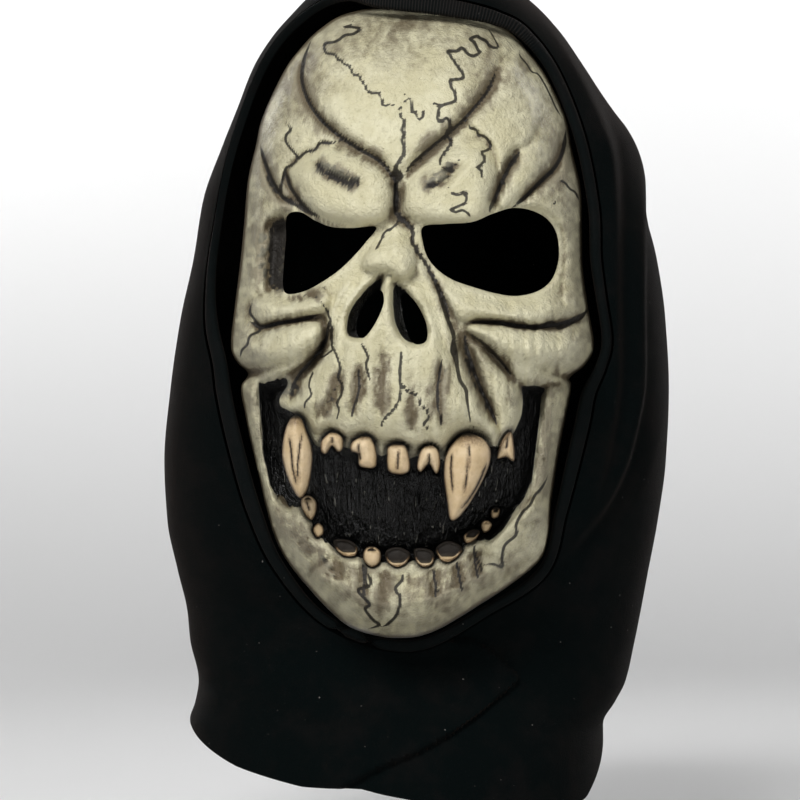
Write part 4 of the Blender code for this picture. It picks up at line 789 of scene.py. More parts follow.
def noise(across, down, cell_across, cell_down, seed):
    """Smooth random values from -1 to 1 in cells of a size in squares."""
    x = np.clip((across - CHART_LEFT) / cell_across + 4.0, 0, None)
    y = np.clip((down - CHART_TOP) / cell_down + 4.0, 0, None)
    shape = (int(y.max()) + 2, int(x.max()) + 2)
    values = np.random.default_rng(seed).uniform(-1, 1, shape)
    column, row = x.astype(int), y.astype(int)
    right, low = eased(x - column), eased(y - row)
    upper = values[row, column] * (1 - right) + values[row, column + 1] * right
    lower = values[row + 1, column] * (1 - right) + values[row + 1, column + 1] * right
    return upper * (1 - low) + lower * low


def add_form(relief, chart, form):
    path = curve(form.outline, closed=True)
    window = chart.window(path, 1)
    across, down = chart.grid_across[window], chart.grid_down[window]
    distance, along, _, inside = path_distance(across, down, path, closed=True)
    middle = path.mean(axis=0)
    edge_turn = np.arctan2(middle[1] - path[:, 1], path[:, 0] - middle[0])
    lean = 0.5 + 0.5 * np.cos(edge_turn - math.radians(form.soft_side))
    lean = np.interp(along * len(path), np.arange(len(path) + 1), np.append(lean, lean[0]))
    lean = lean * lean
    share = np.clip(distance / between(form.crisp, form.soft, lean), 0, 1)
    rounded = np.sqrt(1 - (1 - share) ** 2)
    relief[window] += np.where(inside, form.lift * between(rounded, eased(share), lean), 0)


def add_crease(relief, chart, line, depth, width, closed=False, end_fade=5.0):
    path = curve(line, closed=closed)
    window = chart.window(path, width)
    across, down = chart.grid_across[window], chart.grid_down[window]
    distance, along, _, _ = path_distance(across, down, path, closed=closed)
    fade = 1.0 if closed else np.clip(np.minimum(along, 1 - along) * end_fade + 0.15, 0, 1)
    share = np.clip(distance / width, 0, 1)
    relief[window] -= depth * fade * (1 - share) ** 2 * (1 + 2 * share)


def add_pocket(relief, chart, outline, depth, wall, lip=0.0):
    path = curve(outline, closed=True)
    window = chart.window(path, lip + 1)
    across, down = chart.grid_across[window], chart.grid_down[window]
    distance, _, _, inside = path_distance(across, down, path, closed=True)
    reach = np.where(inside, distance, -distance) + lip
    relief[window] -= depth * eased(reach / wall)


def smooth_field(field, passes):
    for _ in range(passes):
        padded = np.pad(field, 1, mode="edge")
        rows = (padded[:-2] + 2 * padded[1:-1] + padded[2:]) / 4
        field = (rows[:, :-2] + 2 * rows[:, 1:-1] + rows[:, 2:]) / 4
    return field


def lowest_nearby(field, reach):
    """The lowest height within reach samples of each chart point."""
    low = field
    for _ in range(int(math.ceil(reach))):
        padded = np.pad(low, 1, mode="edge")
        rows = np.minimum(np.minimum(padded[:-2], padded[1:-1]), padded[2:])
        low = np.minimum(np.minimum(rows[:, :-2], rows[:, 1:-1]), rows[:, 2:])
    return low


def inside_depth(chart, outline, margin):
    """How far each chart point lies inside an outline, and less than zero outside it."""
    depth = np.full(chart.grid_across.shape, -margin)
    path = curve(outline, closed=True)
    window = chart.window(path, margin)
    across, down = chart.grid_across[window], chart.grid_down[window]
    distance, _, _, inside = path_distance(across, down, path, closed=True)
    depth[window] = np.where(inside, distance, -np.minimum(distance, margin))
    return depth


class FaceSculpt:
    """The heights of the latex face on the chart, and where it is washed and shaded in paint, cracked or
    black.
    """

    def __init__(self, layout):
        rough = Chart(1)
        right = rough.grid_across - FACE_MIDDLE[0]
        up = FACE_MIDDLE[1] - rough.grid_down
        radius = outline_radius(np.arctan2(up, right).ravel()).reshape(right.shape)
        share = np.clip(np.hypot(right, up) / radius, 0, 1)
        relief = np.zeros_like(share)
        for form in FORMS:
            add_form(relief, rough, form)
        for crease in CREASES:
            add_crease(relief, rough, crease.line, crease.depth * CREASE_SHARE, crease.width * CREASE_SPREAD)
        for pocket in POCKETS:
            add_pocket(relief, rough, pocket.outline, pocket.depth, pocket.wall)
        edge_fade = np.sqrt(np.clip((1 - share) / EDGE_ROUNDING, 0, 1))
        dome = layout.depth * np.sqrt(1 - share ** DOME_POWER)
        rough_outer = smooth_field(dome + relief * edge_fade, 3)
        self.chart = chart = Chart(FINE)
        across, down = chart.grid_across, chart.grid_down
        self.form = smooth_field(rough.sample(rough_outer, across, down), 2)
        self.fade = rough.sample(edge_fade, across, down)
        self.tissue = self.tissue_mask()
        detail = np.zeros_like(self.form)
        for tooth in TEETH:
            add_pocket(detail, chart, tooth.outline, SOCKET_DEPTH, SOCKET_WALL, SOCKET_LIP)
            if tooth.name.startswith("upper"):
                add_crease(detail, chart, tooth.outline, -GUM_LIP, GUM_LIP_WIDTH, closed=True)
        detail += self.strands() + self.brushwork()
        for crack in CRACKS:
            add_crease(detail, chart, crack.line, 0.7 * crack.depth, 1.5 * crack.width, end_fade=20.0)
        for pore in PORES:
            reach = np.hypot(across - pore.across, down - pore.down) / pore.radius
            detail -= pore.depth * eased(1.4 - reach)
        self.outer = self.form + detail * self.fade
        lowest = np.minimum(rough_outer, chart.sample(self.outer, rough.grid_across, rough.grid_down))
        self.inner = smooth_field(lowest_nearby(lowest, layout.wall) - layout.wall, 3)
        self.inner = rough.sample(self.inner, across, down)
        self.reach = rough.sample(share, across, down)
        self.wash, self.ink = self.wash_and_shade_mask()
        self.ridge = np.clip((self.outer - blurred(self.outer, 3 * FINE)) / 1.2, 0, 1)
        self.crack_side, self.crack_gap = self.crack_fields()

    def tissue_mask(self):
        """Where the sculpted flesh of the mouth and the deep nose shows black, from 0 to 1."""
        chart = self.chart
        across, down = chart.grid_across, chart.grid_down
        streak = noise(across, down, 3.0, 26.0, 5) * 5 + noise(across, down, 7.0, 60.0, 6) * 6
        mouth = inside_depth(chart, POCKETS[0].outline, 14.0)
        low_left = eased((down - 470) / 50) * eased((320 - across) / 40)
        black = eased((mouth + streak * (0.25 + 1.3 * low_left) - 1.0 - 6 * low_left) / 5.0)
        for pocket in POCKETS[3:5]:
            black = np.maximum(black, eased((inside_depth(chart, pocket.outline, 8.0) - 3.0) / 5.0))
        return black

    def strands(self):
        """The raised strands of flesh inside the mouth."""
        across, down = self.chart.grid_across, self.chart.grid_down
        lean = (across - 400) * (down - 500) / 900.0 + 5 * noise(across, down, 36, 44, 11)
        broad = 1 - 2 * np.abs(noise(across + lean, down, 9.0, 85.0, 12))
        fine = 1 - 2 * np.abs(noise(across + lean, down, 3.6, 34.0, 13))
        beads = noise(across, down, 3.0, 5.0, 14) * eased((down - 470) / 60)
        return self.tissue * (BROAD_STRAND * broad + FINE_STRAND * fine + STRAND_BEADS * beads)

    def brushwork(self):
        """The uneven skin that clay tools leave on bone."""
        across, down = self.chart.grid_across, self.chart.grid_down
        bone = 1 - self.tissue
        swell = noise(across, down, 17, 21, 21) * SWELL_BROAD + noise(across, down, 8, 9, 22) * SWELL_SMALL
        stipple = noise(across, down, 3.4, 3.4, 23) * STIPPLE_BROAD
        stipple += noise(across, down, 2.0, 2.0, 24) * STIPPLE_SMALL
        jaw = eased((down - 285) / 60) * eased((470 - down) / 50)
        drawn = jaw * (JAW_DRAWN_BROAD * noise(across, down, 5.5, 60, 25)
                       + JAW_DRAWN_FINE * noise(across, down, 2.6, 34, 26))
        chin = eased((down - 545) / 25)
        drawn += chin * (CHIN_DRAWN_BROAD * noise(across, down, 6.0, 40, 27)
                         + CHIN_DRAWN_FINE * noise(across, down, 2.6, 20, 28))
        return bone * (swell + stipple + drawn)

    def wash_and_shade_mask(self):
        """Where brown washes and painted shade darken the bone, and where black ink was drawn, with painted
        shade in the deepest dips and round the teeth, from 0 to 1.
        """
        across, down = self.chart.grid_across, self.chart.grid_down
        # Dips of three sizes darken: brown washes together with painted shade.
        small = np.clip((blurred(self.outer, 2 * FINE) - self.outer) / 2.0, 0, 1)
        middle = np.clip((blurred(self.outer, 6 * FINE) - self.outer - 0.5) / 7.0, 0, 1)
        broad = np.clip((blurred(self.outer, 14 * FINE) - self.outer - 1.5) / 16.0, 0, 1)
        brush = 1 + 0.5 * noise(across, down, 4, 5, 31) + 0.4 * noise(across, down, 11, 13, 32)
        wash = SMALL_WASH_AND_SHADE * small + (MIDDLE_WASH_AND_SHADE * middle + BROAD_WASH_AND_SHADE * broad) * brush
        # Painted shade: the face darkens towards its edge.
        wash += RIM_SHADE * eased((self.reach - RIM_SHADE_FROM) / RIM_SHADE_WIDTH) * brush
        streaks = 1 + 0.7 * noise(across, down, 2.2, 14, 34) + 0.5 * noise(across, down, 9, 16, 35)
        # The deepest dips go black: painted shade with the ink.
        ink = 0.5 * eased((middle - 0.55) / 0.4)
        ragged = 1 + 0.5 * noise(across, down, 3, 3, 33)
        # Along each crease a brown band, mostly painted shade, fades out from a thin black line of ink.
        for crease in CREASES:
            path = curve(crease.line, closed=False)
            reach = CREASE_WASH_AND_SHADE_REACH * crease.width
            window = self.chart.window(path, reach)
            gap, along, _, _ = path_distance(across[window], down[window], path, closed=False)
            fade = np.clip(np.minimum(along, 1 - along) * 4, 0, 1)
            settled = CREASE_WASH_AND_SHADE * fade * eased(1 - gap / reach) ** 2
            wash[window] += settled * (brush * streaks)[window]
            line = crease.ink * fade * eased(1.5 - gap / (INK_WIDTH * ragged[window]))
            ink[window] = np.maximum(ink[window], line)
        # Round each tooth the latex goes black and brown: dark paint at the join with painted shade where the
        # tooth sits in its socket.
        for tooth in TEETH:
            near = inside_depth(self.chart, tooth.outline, 9.0)
            ink = np.maximum(ink, 0.9 * eased((near + 4.0) / 2.2))
            wash = np.maximum(wash, 0.8 * eased((near + 8.0) / 5.0))
        # Stains with painted shade among them, the strongest going black.
        for stain_and_shade in STAINS_AND_SHADE:
            path = curve(stain_and_shade.line, closed=False)
            window = self.chart.window(path, stain_and_shade.width)
            reach, along, _, _ = path_distance(across[window], down[window], path, closed=False)
            fade = np.clip(np.minimum(along, 1 - along) * 5 + 0.15, 0, 1)
            spot = stain_and_shade.strength * fade * eased(1 - reach / stain_and_shade.width)
            wash[window] += spot * (brush * streaks)[window]
            ink[window] = np.maximum(ink[window], eased((spot * ragged[window] - 0.5) / 0.5))
        return np.clip(wash, 0, 1), np.clip(ink, 0, 1)

    def crack_fields(self):
        """Distance to the nearest crack with a sign for its side, and without one."""
        across, down = self.chart.grid_across, self.chart.grid_down
        gap = np.full(across.shape, CRACK_REACH)
        side = np.full(across.shape, CRACK_REACH)
        inked = [Crack(INKED_DEPTH + INKED_GAIN * crease.ink, 0, crease.line) for crease in CREASES
                 if crease.ink > INKED_CREASE]
        for crack in CRACKS + tuple(inked):
            path = curve(crack.line, closed=False, step=2.0)
            window = self.chart.window(path, CRACK_REACH)
            reach, along, turn, _ = path_distance(across[window], down[window], path, closed=False)
            strength = crack.depth * (1 - TAPER + TAPER * eased(8 * np.minimum(along, 1 - along)))
            reach = reach * CRACK_STRENGTH / strength
            near = reach < gap[window]
            gap[window] = np.where(near, reach, gap[window])
            side[window] = np.where(near, reach * turn, side[window])
        return side, gap


def lay_out():
    return Layout(bpy.context.scene.skull_mask)


SCULPTS = {}


def face_sculpt():
    """The sculpt of the face, worked out once for the pieces that need it."""
    if "face" not in SCULPTS:
        SCULPTS["face"] = FaceSculpt(lay_out())
    return SCULPTS["face"]


def add_node(tree, kind, inputs=None, **settings):
    item = tree.nodes.new("ShaderNode" + kind)
    for name, value in settings.items():
        setattr(item, name, value)
    for key, value in (inputs or {}).items():
        if isinstance(value, bpy.types.NodeSocket):
            tree.links.new(value, item.inputs[key])
        else:
            item.inputs[key].default_value = value
    return item


def maths(tree, operation, first, second=0.0, clamp=False):
    return add_node(tree, "Math", {0: first, 1: second}, operation=operation, use_clamp=clamp).outputs[0]


def blend_colors(tree, share, first, second, blend_type="MIX"):
    made = add_node(tree, "Mix", {0: share, 6: first, 7: second}, data_type="RGBA", blend_type=blend_type)
    return made.outputs[2]


def step_up(tree, value, low, high, to_low=0.0, to_high=1.0):
    """A smooth step from one value to another as the input goes from low to high."""
    made = add_node(tree, "MapRange", {0: value, 1: low, 2: high, 3: to_low, 4: to_high},
                    interpolation_type="SMOOTHSTEP")
    return made.outputs[0]


def noise_node(tree, vector, scale, detail=3.0, roughness=0.55, distortion=0.0):
    made = add_node(tree, "TexNoise", {"Vector": vector, "Scale": scale, "Detail": detail,
                                       "Roughness": roughness, "Distortion": distortion})
    return made.outputs["Fac"]


def attribute(tree, name):
    return add_node(tree, "Attribute", attribute_name=name).outputs["Fac"]


def shader_of(material):
    return material.node_tree.nodes["Principled BSDF"]


def new_material(name, **values):
    material = bpy.data.materials.new(name)
    material.use_nodes = True
    shader = shader_of(material)
    for key, value in values.items():
        shader.inputs[key.replace("_", " ")].default_value = value
    return material


def feed(material, **sockets):
    shader = shader_of(material)
    for key, socket in sockets.items():
        material.node_tree.links.new(socket, shader.inputs[key.replace("_", " ")])


def new_group(name, inputs, outputs):
    group = bpy.data.node_groups.new(name, "ShaderNodeTree")
    for label, kind, value in inputs:
        made = group.interface.new_socket(name=label, in_out="INPUT", socket_type="NodeSocket" + kind)
        if value is not None:
            made.default_value = value
    for label, kind in outputs:
        group.interface.new_socket(name=label, in_out="OUTPUT", socket_type="NodeSocket" + kind)
    return group, group.nodes.new("NodeGroupInput"), group.nodes.new("NodeGroupOutput")


def place_group(tree, group, inputs):
    item = tree.nodes.new("ShaderNodeGroup")
    item.node_tree = group
    for key, value in inputs.items():
        if isinstance(value, bpy.types.NodeSocket):
            tree.links.new(value, item.inputs[key])
        else:
            item.inputs[key].default_value = value
    return item


def washed_and_shaded_paint_group():
    """Painted latex: clean paint, brown washes and painted shade where the darkening share is high, and ink
    in the deepest lines.
    """
    name = "washed_paint"
    if name in bpy.data.node_groups:
        return bpy.data.node_groups[name]
    group, given, result = new_group(
        name,
        (("Paint", "Color", (0.6, 0.57, 0.4, 1)), ("Aged Paint", "Color", (0.5, 0.44, 0.27, 1)),
         ("Stain", "Color", (0.12, 0.085, 0.05, 1)), ("Ink", "Color", (0.012, 0.010, 0.008, 1)),
         ("Wash", "Float", 0.0), ("Line", "Float", 0.0), ("Place", "Vector", None)),
        (("Color", "Color"), ("Roughness", "Float"), ("Height", "Float")))
    inputs = given.outputs
    place = inputs["Place"]
    patches = noise_node(group, place, 60.0, 5.0, 0.65)
    mottle = noise_node(group, place, 380.0, 5.0, 0.62, 0.4)
    specks = noise_node(group, place, 1100.0, 3.0, 0.6)
    brush = noise_node(group, place, 700.0, 4.0, 0.65, 1.5)
    pits = noise_node(group, place, 520.0, 2.0, 0.5)
    paint = blend_colors(group, step_up(group, patches, 0.36, 0.62), inputs["Paint"], inputs["Aged Paint"])
    spots = maths(group, "MULTIPLY", step_up(group, specks, 0.58, 0.70), step_up(group, mottle, 0.45, 0.60))
    paint = blend_colors(group, maths(group, "MULTIPLY", spots, 0.10), paint, inputs["Stain"])
    settled = maths(group, "MULTIPLY", step_up(group, pits, 0.40, 0.30), 0.12)
    paint = blend_colors(group, settled, paint, inputs["Stain"])
    # Brown washes and painted shade, laid on with ragged brush-stroke edges, then ink.
    around = step_up(group, inputs["Wash"], 0.02, 0.35)
    stroke = maths(group, "MULTIPLY", maths(group, "SUBTRACT", brush, 0.5), around)
    ragged = maths(group, "ADD", inputs["Wash"], maths(group, "MULTIPLY", stroke, 0.9))
    stained_and_shaded = blend_colors(group, maths(group, "MULTIPLY", step_up(group, ragged, 0.05, 0.95), 0.95), paint,
                           inputs["Stain"])
    line = maths(group, "ADD", inputs["Line"], maths(group, "MULTIPLY", stroke, 0.6))
    stained_and_shaded = blend_colors(group, maths(group, "MULTIPLY", step_up(group, line, 0.22, 0.80), 0.97), stained_and_shaded,
                           inputs["Ink"])
    rough = maths(group, "ADD", maths(group, "MULTIPLY", mottle, 0.30), 0.24)
    rough = maths(group, "ADD", rough, maths(group, "MULTIPLY", inputs["Line"], 0.25))
    height = maths(group, "ADD", maths(group, "MULTIPLY", mottle, 0.8), maths(group, "MULTIPLY", specks, 0.3))
    height = maths(group, "ADD", height, maths(group, "MULTIPLY", step_up(group, pits, 0.28, 0.46), 0.12))
    group.links.new(stained_and_shaded, result.inputs["Color"])
    group.links.new(rough, result.inputs["Roughness"])
    group.links.new(height, result.inputs["Height"])
    return group


def latex_material(sizes):
    """Bone latex with brown washes and painted shade, ink in its cracks, and glossy black flesh in the mouth
    with painted highlight streaks on its strands.
    """
    material = new_material("latex_bone", Specular_IOR_Level=0.42)
    tree = material.node_tree
    place = add_node(tree, "TexCoord").outputs["Object"]
    wash = attribute(tree, "wash")
    paint = place_group(tree, washed_and_shaded_paint_group(), {
        "Paint": (*sizes.bone_color, 1), "Aged Paint": (*sizes.aged_bone_color, 1),
        "Stain": (*sizes.stain_and_shade_color, 1), "Ink": (*sizes.ink_color, 1), "Wash": wash,
        "Line": attribute(tree, "ink"), "Place": place})
    ridge = attribute(tree, "ridge")
    lit = maths(tree, "MULTIPLY", ridge, 0.28)
    color = blend_colors(tree, lit, paint.outputs["Color"], (*sizes.dry_brush_color, 1))
    wobble = noise_node(tree, place, 350.0, 2.0)
    width = maths(tree, "ADD", maths(tree, "MULTIPLY", wobble, 0.8), 0.45)
    line = maths(tree, "ABSOLUTE", attribute(tree, "crack_side"))
    line = maths(tree, "SUBTRACT", 1.0, step_up(tree, maths(tree, "SUBTRACT", line, width), -0.35, 0.45))
    gap = attribute(tree, "crack_gap")
    near = maths(tree, "SUBTRACT", 1.0, step_up(tree, gap, 1.5, 2.2))
    line = maths(tree, "MULTIPLY", line, near)
    line = maths(tree, "MAXIMUM", line, maths(tree, "SUBTRACT", 1.0, step_up(tree, gap, 1.0, 1.65)))
    color = blend_colors(tree, maths(tree, "MULTIPLY", line, 0.93), color, (*sizes.ink_color, 1))
    tissue = attribute(tree, "tissue")
    streak = noise_node(tree, add_node(tree, "Mapping", {"Vector": place, "Scale": (620.0, 620.0, 90.0)}
                                       ).outputs[0], 1.0, 3.0, 0.6)
    # Painted highlight: light grey streaks on the raised strands of the black flesh, in place of the glints
    # of its wet gloss.
    painted_glint = maths(tree, "MULTIPLY", step_up(tree, streak, 0.60, 0.68), step_up(tree, ridge, 0.2, 0.7))
    flesh = blend_colors(tree, painted_glint, (*sizes.flesh_color, 1),
                         (0.22, 0.21, 0.18, 1))
    black = step_up(tree, maths(tree, "ADD", tissue, maths(tree, "MULTIPLY", maths(
        tree, "SUBTRACT", streak, 0.5), 0.5)), 0.3, 0.62)
    color = blend_colors(tree, black, color, flesh)
    lining = attribute(tree, "lining")
    color = blend_colors(tree, lining, color, (*sizes.raw_latex_color, 1))
    rough = maths(tree, "MULTIPLY", paint.outputs["Roughness"], maths(
        tree, "SUBTRACT", 1.0, maths(tree, "MULTIPLY", black, 0.65)))
    height = maths(tree, "ADD", paint.outputs["Height"], maths(
        tree, "MULTIPLY", maths(tree, "MULTIPLY", streak, black), 2.2))
    bump = add_node(tree, "Bump", {"Strength": 1.0, "Distance": 0.0014, "Height": height})
    feed(material, Base_Color=color, Roughness=rough, Normal=bump.outputs["Normal"])
    return material


def tooth_material(sizes):
    material = new_material("tooth_ivory", Specular_IOR_Level=0.22)
    tree = material.node_tree
    place = add_node(tree, "TexCoord").outputs["Object"]
    paint = place_group(tree, washed_and_shaded_paint_group(), {
        "Paint": (*sizes.tooth_color, 1), "Aged Paint": (*sizes.aged_tooth_color, 1),
        "Stain": (*sizes.tooth_stain_and_shade_color, 1), "Ink": (*sizes.ink_color, 1),
        "Wash": attribute(tree, "wash"), "Line": attribute(tree, "ink"), "Place": place})
    bump = add_node(tree, "Bump", {"Strength": 0.5, "Distance": 0.0005, "Height": paint.outputs["Height"]})
    feed(material, Base_Color=paint.outputs["Color"], Roughness=paint.outputs["Roughness"],
         Normal=bump.outputs["Normal"])
    return material


def nap_group():
    """Short soft pile: small tufts, worn patches and a few specks of lint."""
    name = "cloth_nap"
    if name in bpy.data.node_groups:
        return bpy.data.node_groups[name]
    group, given, result = new_group(
        name, (("Cloth", "Color", (0.006, 0.006, 0.006, 1)), ("Worn", "Color", (0.02, 0.017, 0.015, 1)),
               ("Place", "Vector", None)),
        (("Color", "Color"), ("Height", "Float")))
    place = given.outputs["Place"]
    tufts = noise_node(group, place, 1500.0, 4.0, 0.7)
    patches = noise_node(group, place, 55.0, 5.0, 0.65)
    lint = noise_node(group, place, 620.0, 1.0, 0.5)
    color = blend_colors(group, maths(group, "MULTIPLY", step_up(group, patches, 0.42, 0.72), 0.5),
                         given.outputs["Cloth"], given.outputs["Worn"])
    color = blend_colors(group, maths(group, "MULTIPLY", step_up(group, tufts, 0.52, 0.75), 0.5), color,
                         given.outputs["Worn"])
    color = blend_colors(group, step_up(group, lint, 0.80, 0.84), color, (0.16, 0.15, 0.14, 1))
    group.links.new(color, result.inputs["Color"])
    group.links.new(maths(group, "ADD", tufts, maths(group, "MULTIPLY", patches, 0.8)),
                    result.inputs["Height"])
    return group


def fleece_material(sizes):
    material = new_material("black_fleece", Roughness=0.95, Specular_IOR_Level=0.04, Sheen_Weight=0.07,
                            Sheen_Roughness=0.35, Sheen_Tint=(*sizes.nap_tint, 1))
    tree = material.node_tree
    place = add_node(tree, "TexCoord").outputs["Object"]
    nap = place_group(tree, nap_group(), {"Cloth": (*sizes.cloth_color, 1),
                                          "Worn": (*sizes.worn_cloth_color, 1), "Place": place})
    bump = add_node(tree, "Bump", {"Strength": 0.6, "Distance": 0.0006, "Height": nap.outputs["Height"]})
    feed(material, Base_Color=nap.outputs["Color"], Normal=bump.outputs["Normal"])
    return material


def rib_material(sizes):
    """Finely ribbed knit: the ribs follow the hem's own length."""
    material = new_material("ribbed_hem", Roughness=0.85, Specular_IOR_Level=0.08, Sheen_Weight=0.07,
                            Sheen_Roughness=0.4, Sheen_Tint=(*sizes.nap_tint, 1))
    tree = material.node_tree
    place = add_node(tree, "TexCoord").outputs["Object"]
    nap = place_group(tree, nap_group(), {"Cloth": (*sizes.cloth_color, 1),
                                          "Worn": (*sizes.worn_cloth_color, 1), "Place": place})
    along = add_node(tree, "SeparateXYZ", {0: add_node(tree, "UVMap", uv_map="strip").outputs[0]}).outputs[0]
    ribs = maths(tree, "SINE", maths(tree, "MULTIPLY", along, HEM_RIB_TURNS))
    ribs = step_up(tree, ribs, -0.6, 0.8)
    brow = attribute(tree, "brow")
    ribs = maths(tree, "MULTIPLY", ribs, brow)
    color = blend_colors(tree, maths(tree, "MULTIPLY", ribs, 0.6), nap.outputs["Color"],
                         (*sizes.rib_color, 1))
    height = maths(tree, "ADD", maths(tree, "MULTIPLY", ribs, 1.6), maths(
        tree, "MULTIPLY", nap.outputs["Height"], 0.5))
    bump = add_node(tree, "Bump", {"Strength": 0.8, "Distance": 0.0005, "Height": height})
    feed(material, Base_Color=color, Normal=bump.outputs["Normal"])
    return material


def add_piece(name, source, material):
    mesh = bpy.data.meshes.new(name)
    source.to_mesh(mesh)
    source.free()
    mesh.materials.append(material)
    item = bpy.data.objects.new(name, mesh)
    bpy.context.scene.collection.objects.link(item)
    return item


def face_outward(body):
    bmesh.ops.recalc_face_normals(body, faces=body.faces)
    if body.calc_volume(signed=True) < 0:
        bmesh.ops.reverse_faces(body, faces=body.faces)


def round_grid(body, columns, rows):
    """A flat grid with its corners drawn in to a round disc of radius one, and its rim edges."""
    made = bmesh.ops.create_grid(body, x_segments=columns, y_segments=rows, size=1.0)
    for vert in made["verts"]:
        x, y = vert.co.x, vert.co.y
        vert.co.x = x * math.sqrt(1 - y * y / 2)
        vert.co.y = y * math.sqrt(1 - x * x / 2)
    rim = {edge for vert in made["verts"] for edge in vert.link_edges if edge.is_boundary}
    return made["verts"], sorted(rim, key=lambda edge: edge.index)


def new_verts(made):
    return [item for item in made["geom"] if isinstance(item, bmesh.types.BMVert)]


def new_edges(made):
    return [item for item in made["geom"] if isinstance(item, bmesh.types.BMEdge)]


def flat_points(body):
    return np.array([vert.co[:] for vert in body.verts])


def set_points(body, points):
    for vert, point in zip(body.verts, points):
        vert.co = point


def mesh_points(mesh):
    points = np.empty(len(mesh.vertices) * 3)
    mesh.vertices.foreach_get("co", points)
    return points.reshape(-1, 3)


def set_attribute(mesh, name, values):
    layer = mesh.attributes.new(name, "FLOAT", "POINT")
    layer.data.foreach_set("value", np.asarray(values, np.float32))


def prism_cutter(name, outline, low, layout):
    """A prism along the line of sight over a chart outline."""
    cutter = bmesh.new()
    base = cutter.faces.new([cutter.verts.new((u, v, low)) for u, v in outline])
    made = bmesh.ops.extrude_face_region(cutter, geom=[base], use_keep_orig=True)
    for vert in new_verts(made):
        vert.co.z = CUTTER_TOP
    points = flat_points(cutter)
    set_points(cutter, layout.place(points[:, 0], points[:, 1], points[:, 2]))
    face_outward(cutter)
    mesh = bpy.data.meshes.new(name)
    cutter.to_mesh(mesh)
    cutter.free()
    item = bpy.data.objects.new(name, mesh)
    bpy.context.scene.collection.objects.link(item)
    return item


def apply_modifiers(item):
    graph = bpy.context.evaluated_depsgraph_get()
    mesh = bpy.data.meshes.new_from_object(item.evaluated_get(graph), depsgraph=graph)
    item.modifiers.clear()
    item.data = mesh


def cut_with(item, cutters):
    for cutter in cutters:
        cut = item.modifiers.new(cutter.name, "BOOLEAN")
        cut.operation = "DIFFERENCE"
        cut.solver = "MANIFOLD"
        cut.object = cutter
    apply_modifiers(item)
    for cutter in cutters:
        bpy.data.objects.remove(cutter, do_unlink=True)


def smooth_shaded(item, sharp_angle):
    item.data.shade_smooth()
    item.data.set_sharp_from_angle(angle=math.radians(sharp_angle))


def finish_piece(item, *nodes):
    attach(item, "root")
    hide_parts(*nodes)


class MASK_OT_face(Operator):
    """Sculpts the latex face with its holes, cracks and mouth, and paints it"""
    bl_idname = "skull_mask.face"
    bl_label = "Face Shell"

    def execute(self, context):
        sizes, layout, sculpt = context.scene.skull_mask, lay_out(), face_sculpt()
        shell = bmesh.new()
        _, rim = round_grid(shell, FACE_COLUMNS, FACE_ROWS)
        for ring in range(EDGE_RINGS):
            made = bmesh.ops.extrude_edge_only(shell, edges=rim)
            for vert in new_verts(made):
                vert.co.z = -(ring + 1)
            rim = new_edges(made)
        lining, lining_rim = round_grid(shell, LINING_COLUMNS, LINING_ROWS)
        for vert in lining:
            vert.co.z = BACK_FLAG
        made = bmesh.ops.extrude_edge_only(shell, edges=lining_rim)
        for vert in new_verts(made):
            vert.co.z = BACK_FLAG - EDGE_RINGS
        lining_rim = new_edges(made)
        rim = [edge for edge in rim if edge.is_boundary]
        lining_rim = [edge for edge in lining_rim if edge.is_boundary]
        bmesh.ops.bridge_loops(shell, edges=rim + lining_rim)
        flat = flat_points(shell)
        turn = np.arctan2(flat[:, 1], flat[:, 0])
        share = np.clip(np.hypot(flat[:, 0], flat[:, 1]), 0, 1)
        is_lining = flat[:, 2] > BACK_FLAG / 2
        ring = -np.where(is_lining, flat[:, 2] - BACK_FLAG, flat[:, 2]) / EDGE_RINGS
        inset = np.where(is_lining, layout.wall, 0.0)
        reach = (outline_radius(turn) - inset) * np.sin(share * math.pi / 2)
        across = FACE_MIDDLE[0] + reach * np.cos(turn)
        down = FACE_MIDDLE[1] - reach * np.sin(turn)
        outer = sculpt.chart.sample(sculpt.outer, across, down)
        inner = sculpt.chart.sample(sculpt.inner, across, down)
        height = np.where(is_lining, inner, outer)
        height = np.where(ring > 0, -layout.edge * ring, height)
        set_points(shell, layout.place(across, down, height))
        face_outward(shell)
        item = add_piece("skull_face", shell, latex_material(sizes))
        cut_with(item, [prism_cutter(hole.name, curve(hole.outline, closed=True, step=2.5), 0.0, layout)
                        for hole in HOLES])
        mesh = item.data
        across, down, height = layout.chart_of(mesh_points(mesh))
        outside = sculpt.chart.sample(sculpt.outer, across, down)
        inside = sculpt.chart.sample(sculpt.inner, across, down)
        covered = (outside - height) > 0.7 * (outside - inside)
        nose = np.maximum.reduce([sculpt.chart.sample(inside_depth(sculpt.chart, pocket.outline, 2.0),
                                                      across, down) for pocket in POCKETS[3:5]])
        covered = covered * (height > 1.0) * (nose < 1.0)
        set_attribute(mesh, "wash", np.clip(sculpt.chart.sample(sculpt.wash, across, down), 0, 1))
        set_attribute(mesh, "ink", np.clip(sculpt.chart.sample(sculpt.ink, across, down), 0, 1))
        set_attribute(mesh, "tissue", sculpt.chart.sample(sculpt.tissue, across, down) * (1 - covered))
        set_attribute(mesh, "ridge", sculpt.chart.sample(sculpt.ridge, across, down) * (1 - covered))
        set_attribute(mesh, "crack_side", sculpt.chart.sample(sculpt.crack_side, across, down))
        set_attribute(mesh, "crack_gap",
                      sculpt.chart.sample(sculpt.crack_gap, across, down) + CRACK_REACH * covered)
        set_attribute(mesh, "lining", covered)
        smooth_shaded(item, 70)
        finish_piece(item, "face_shell")
        return {"FINISHED"}


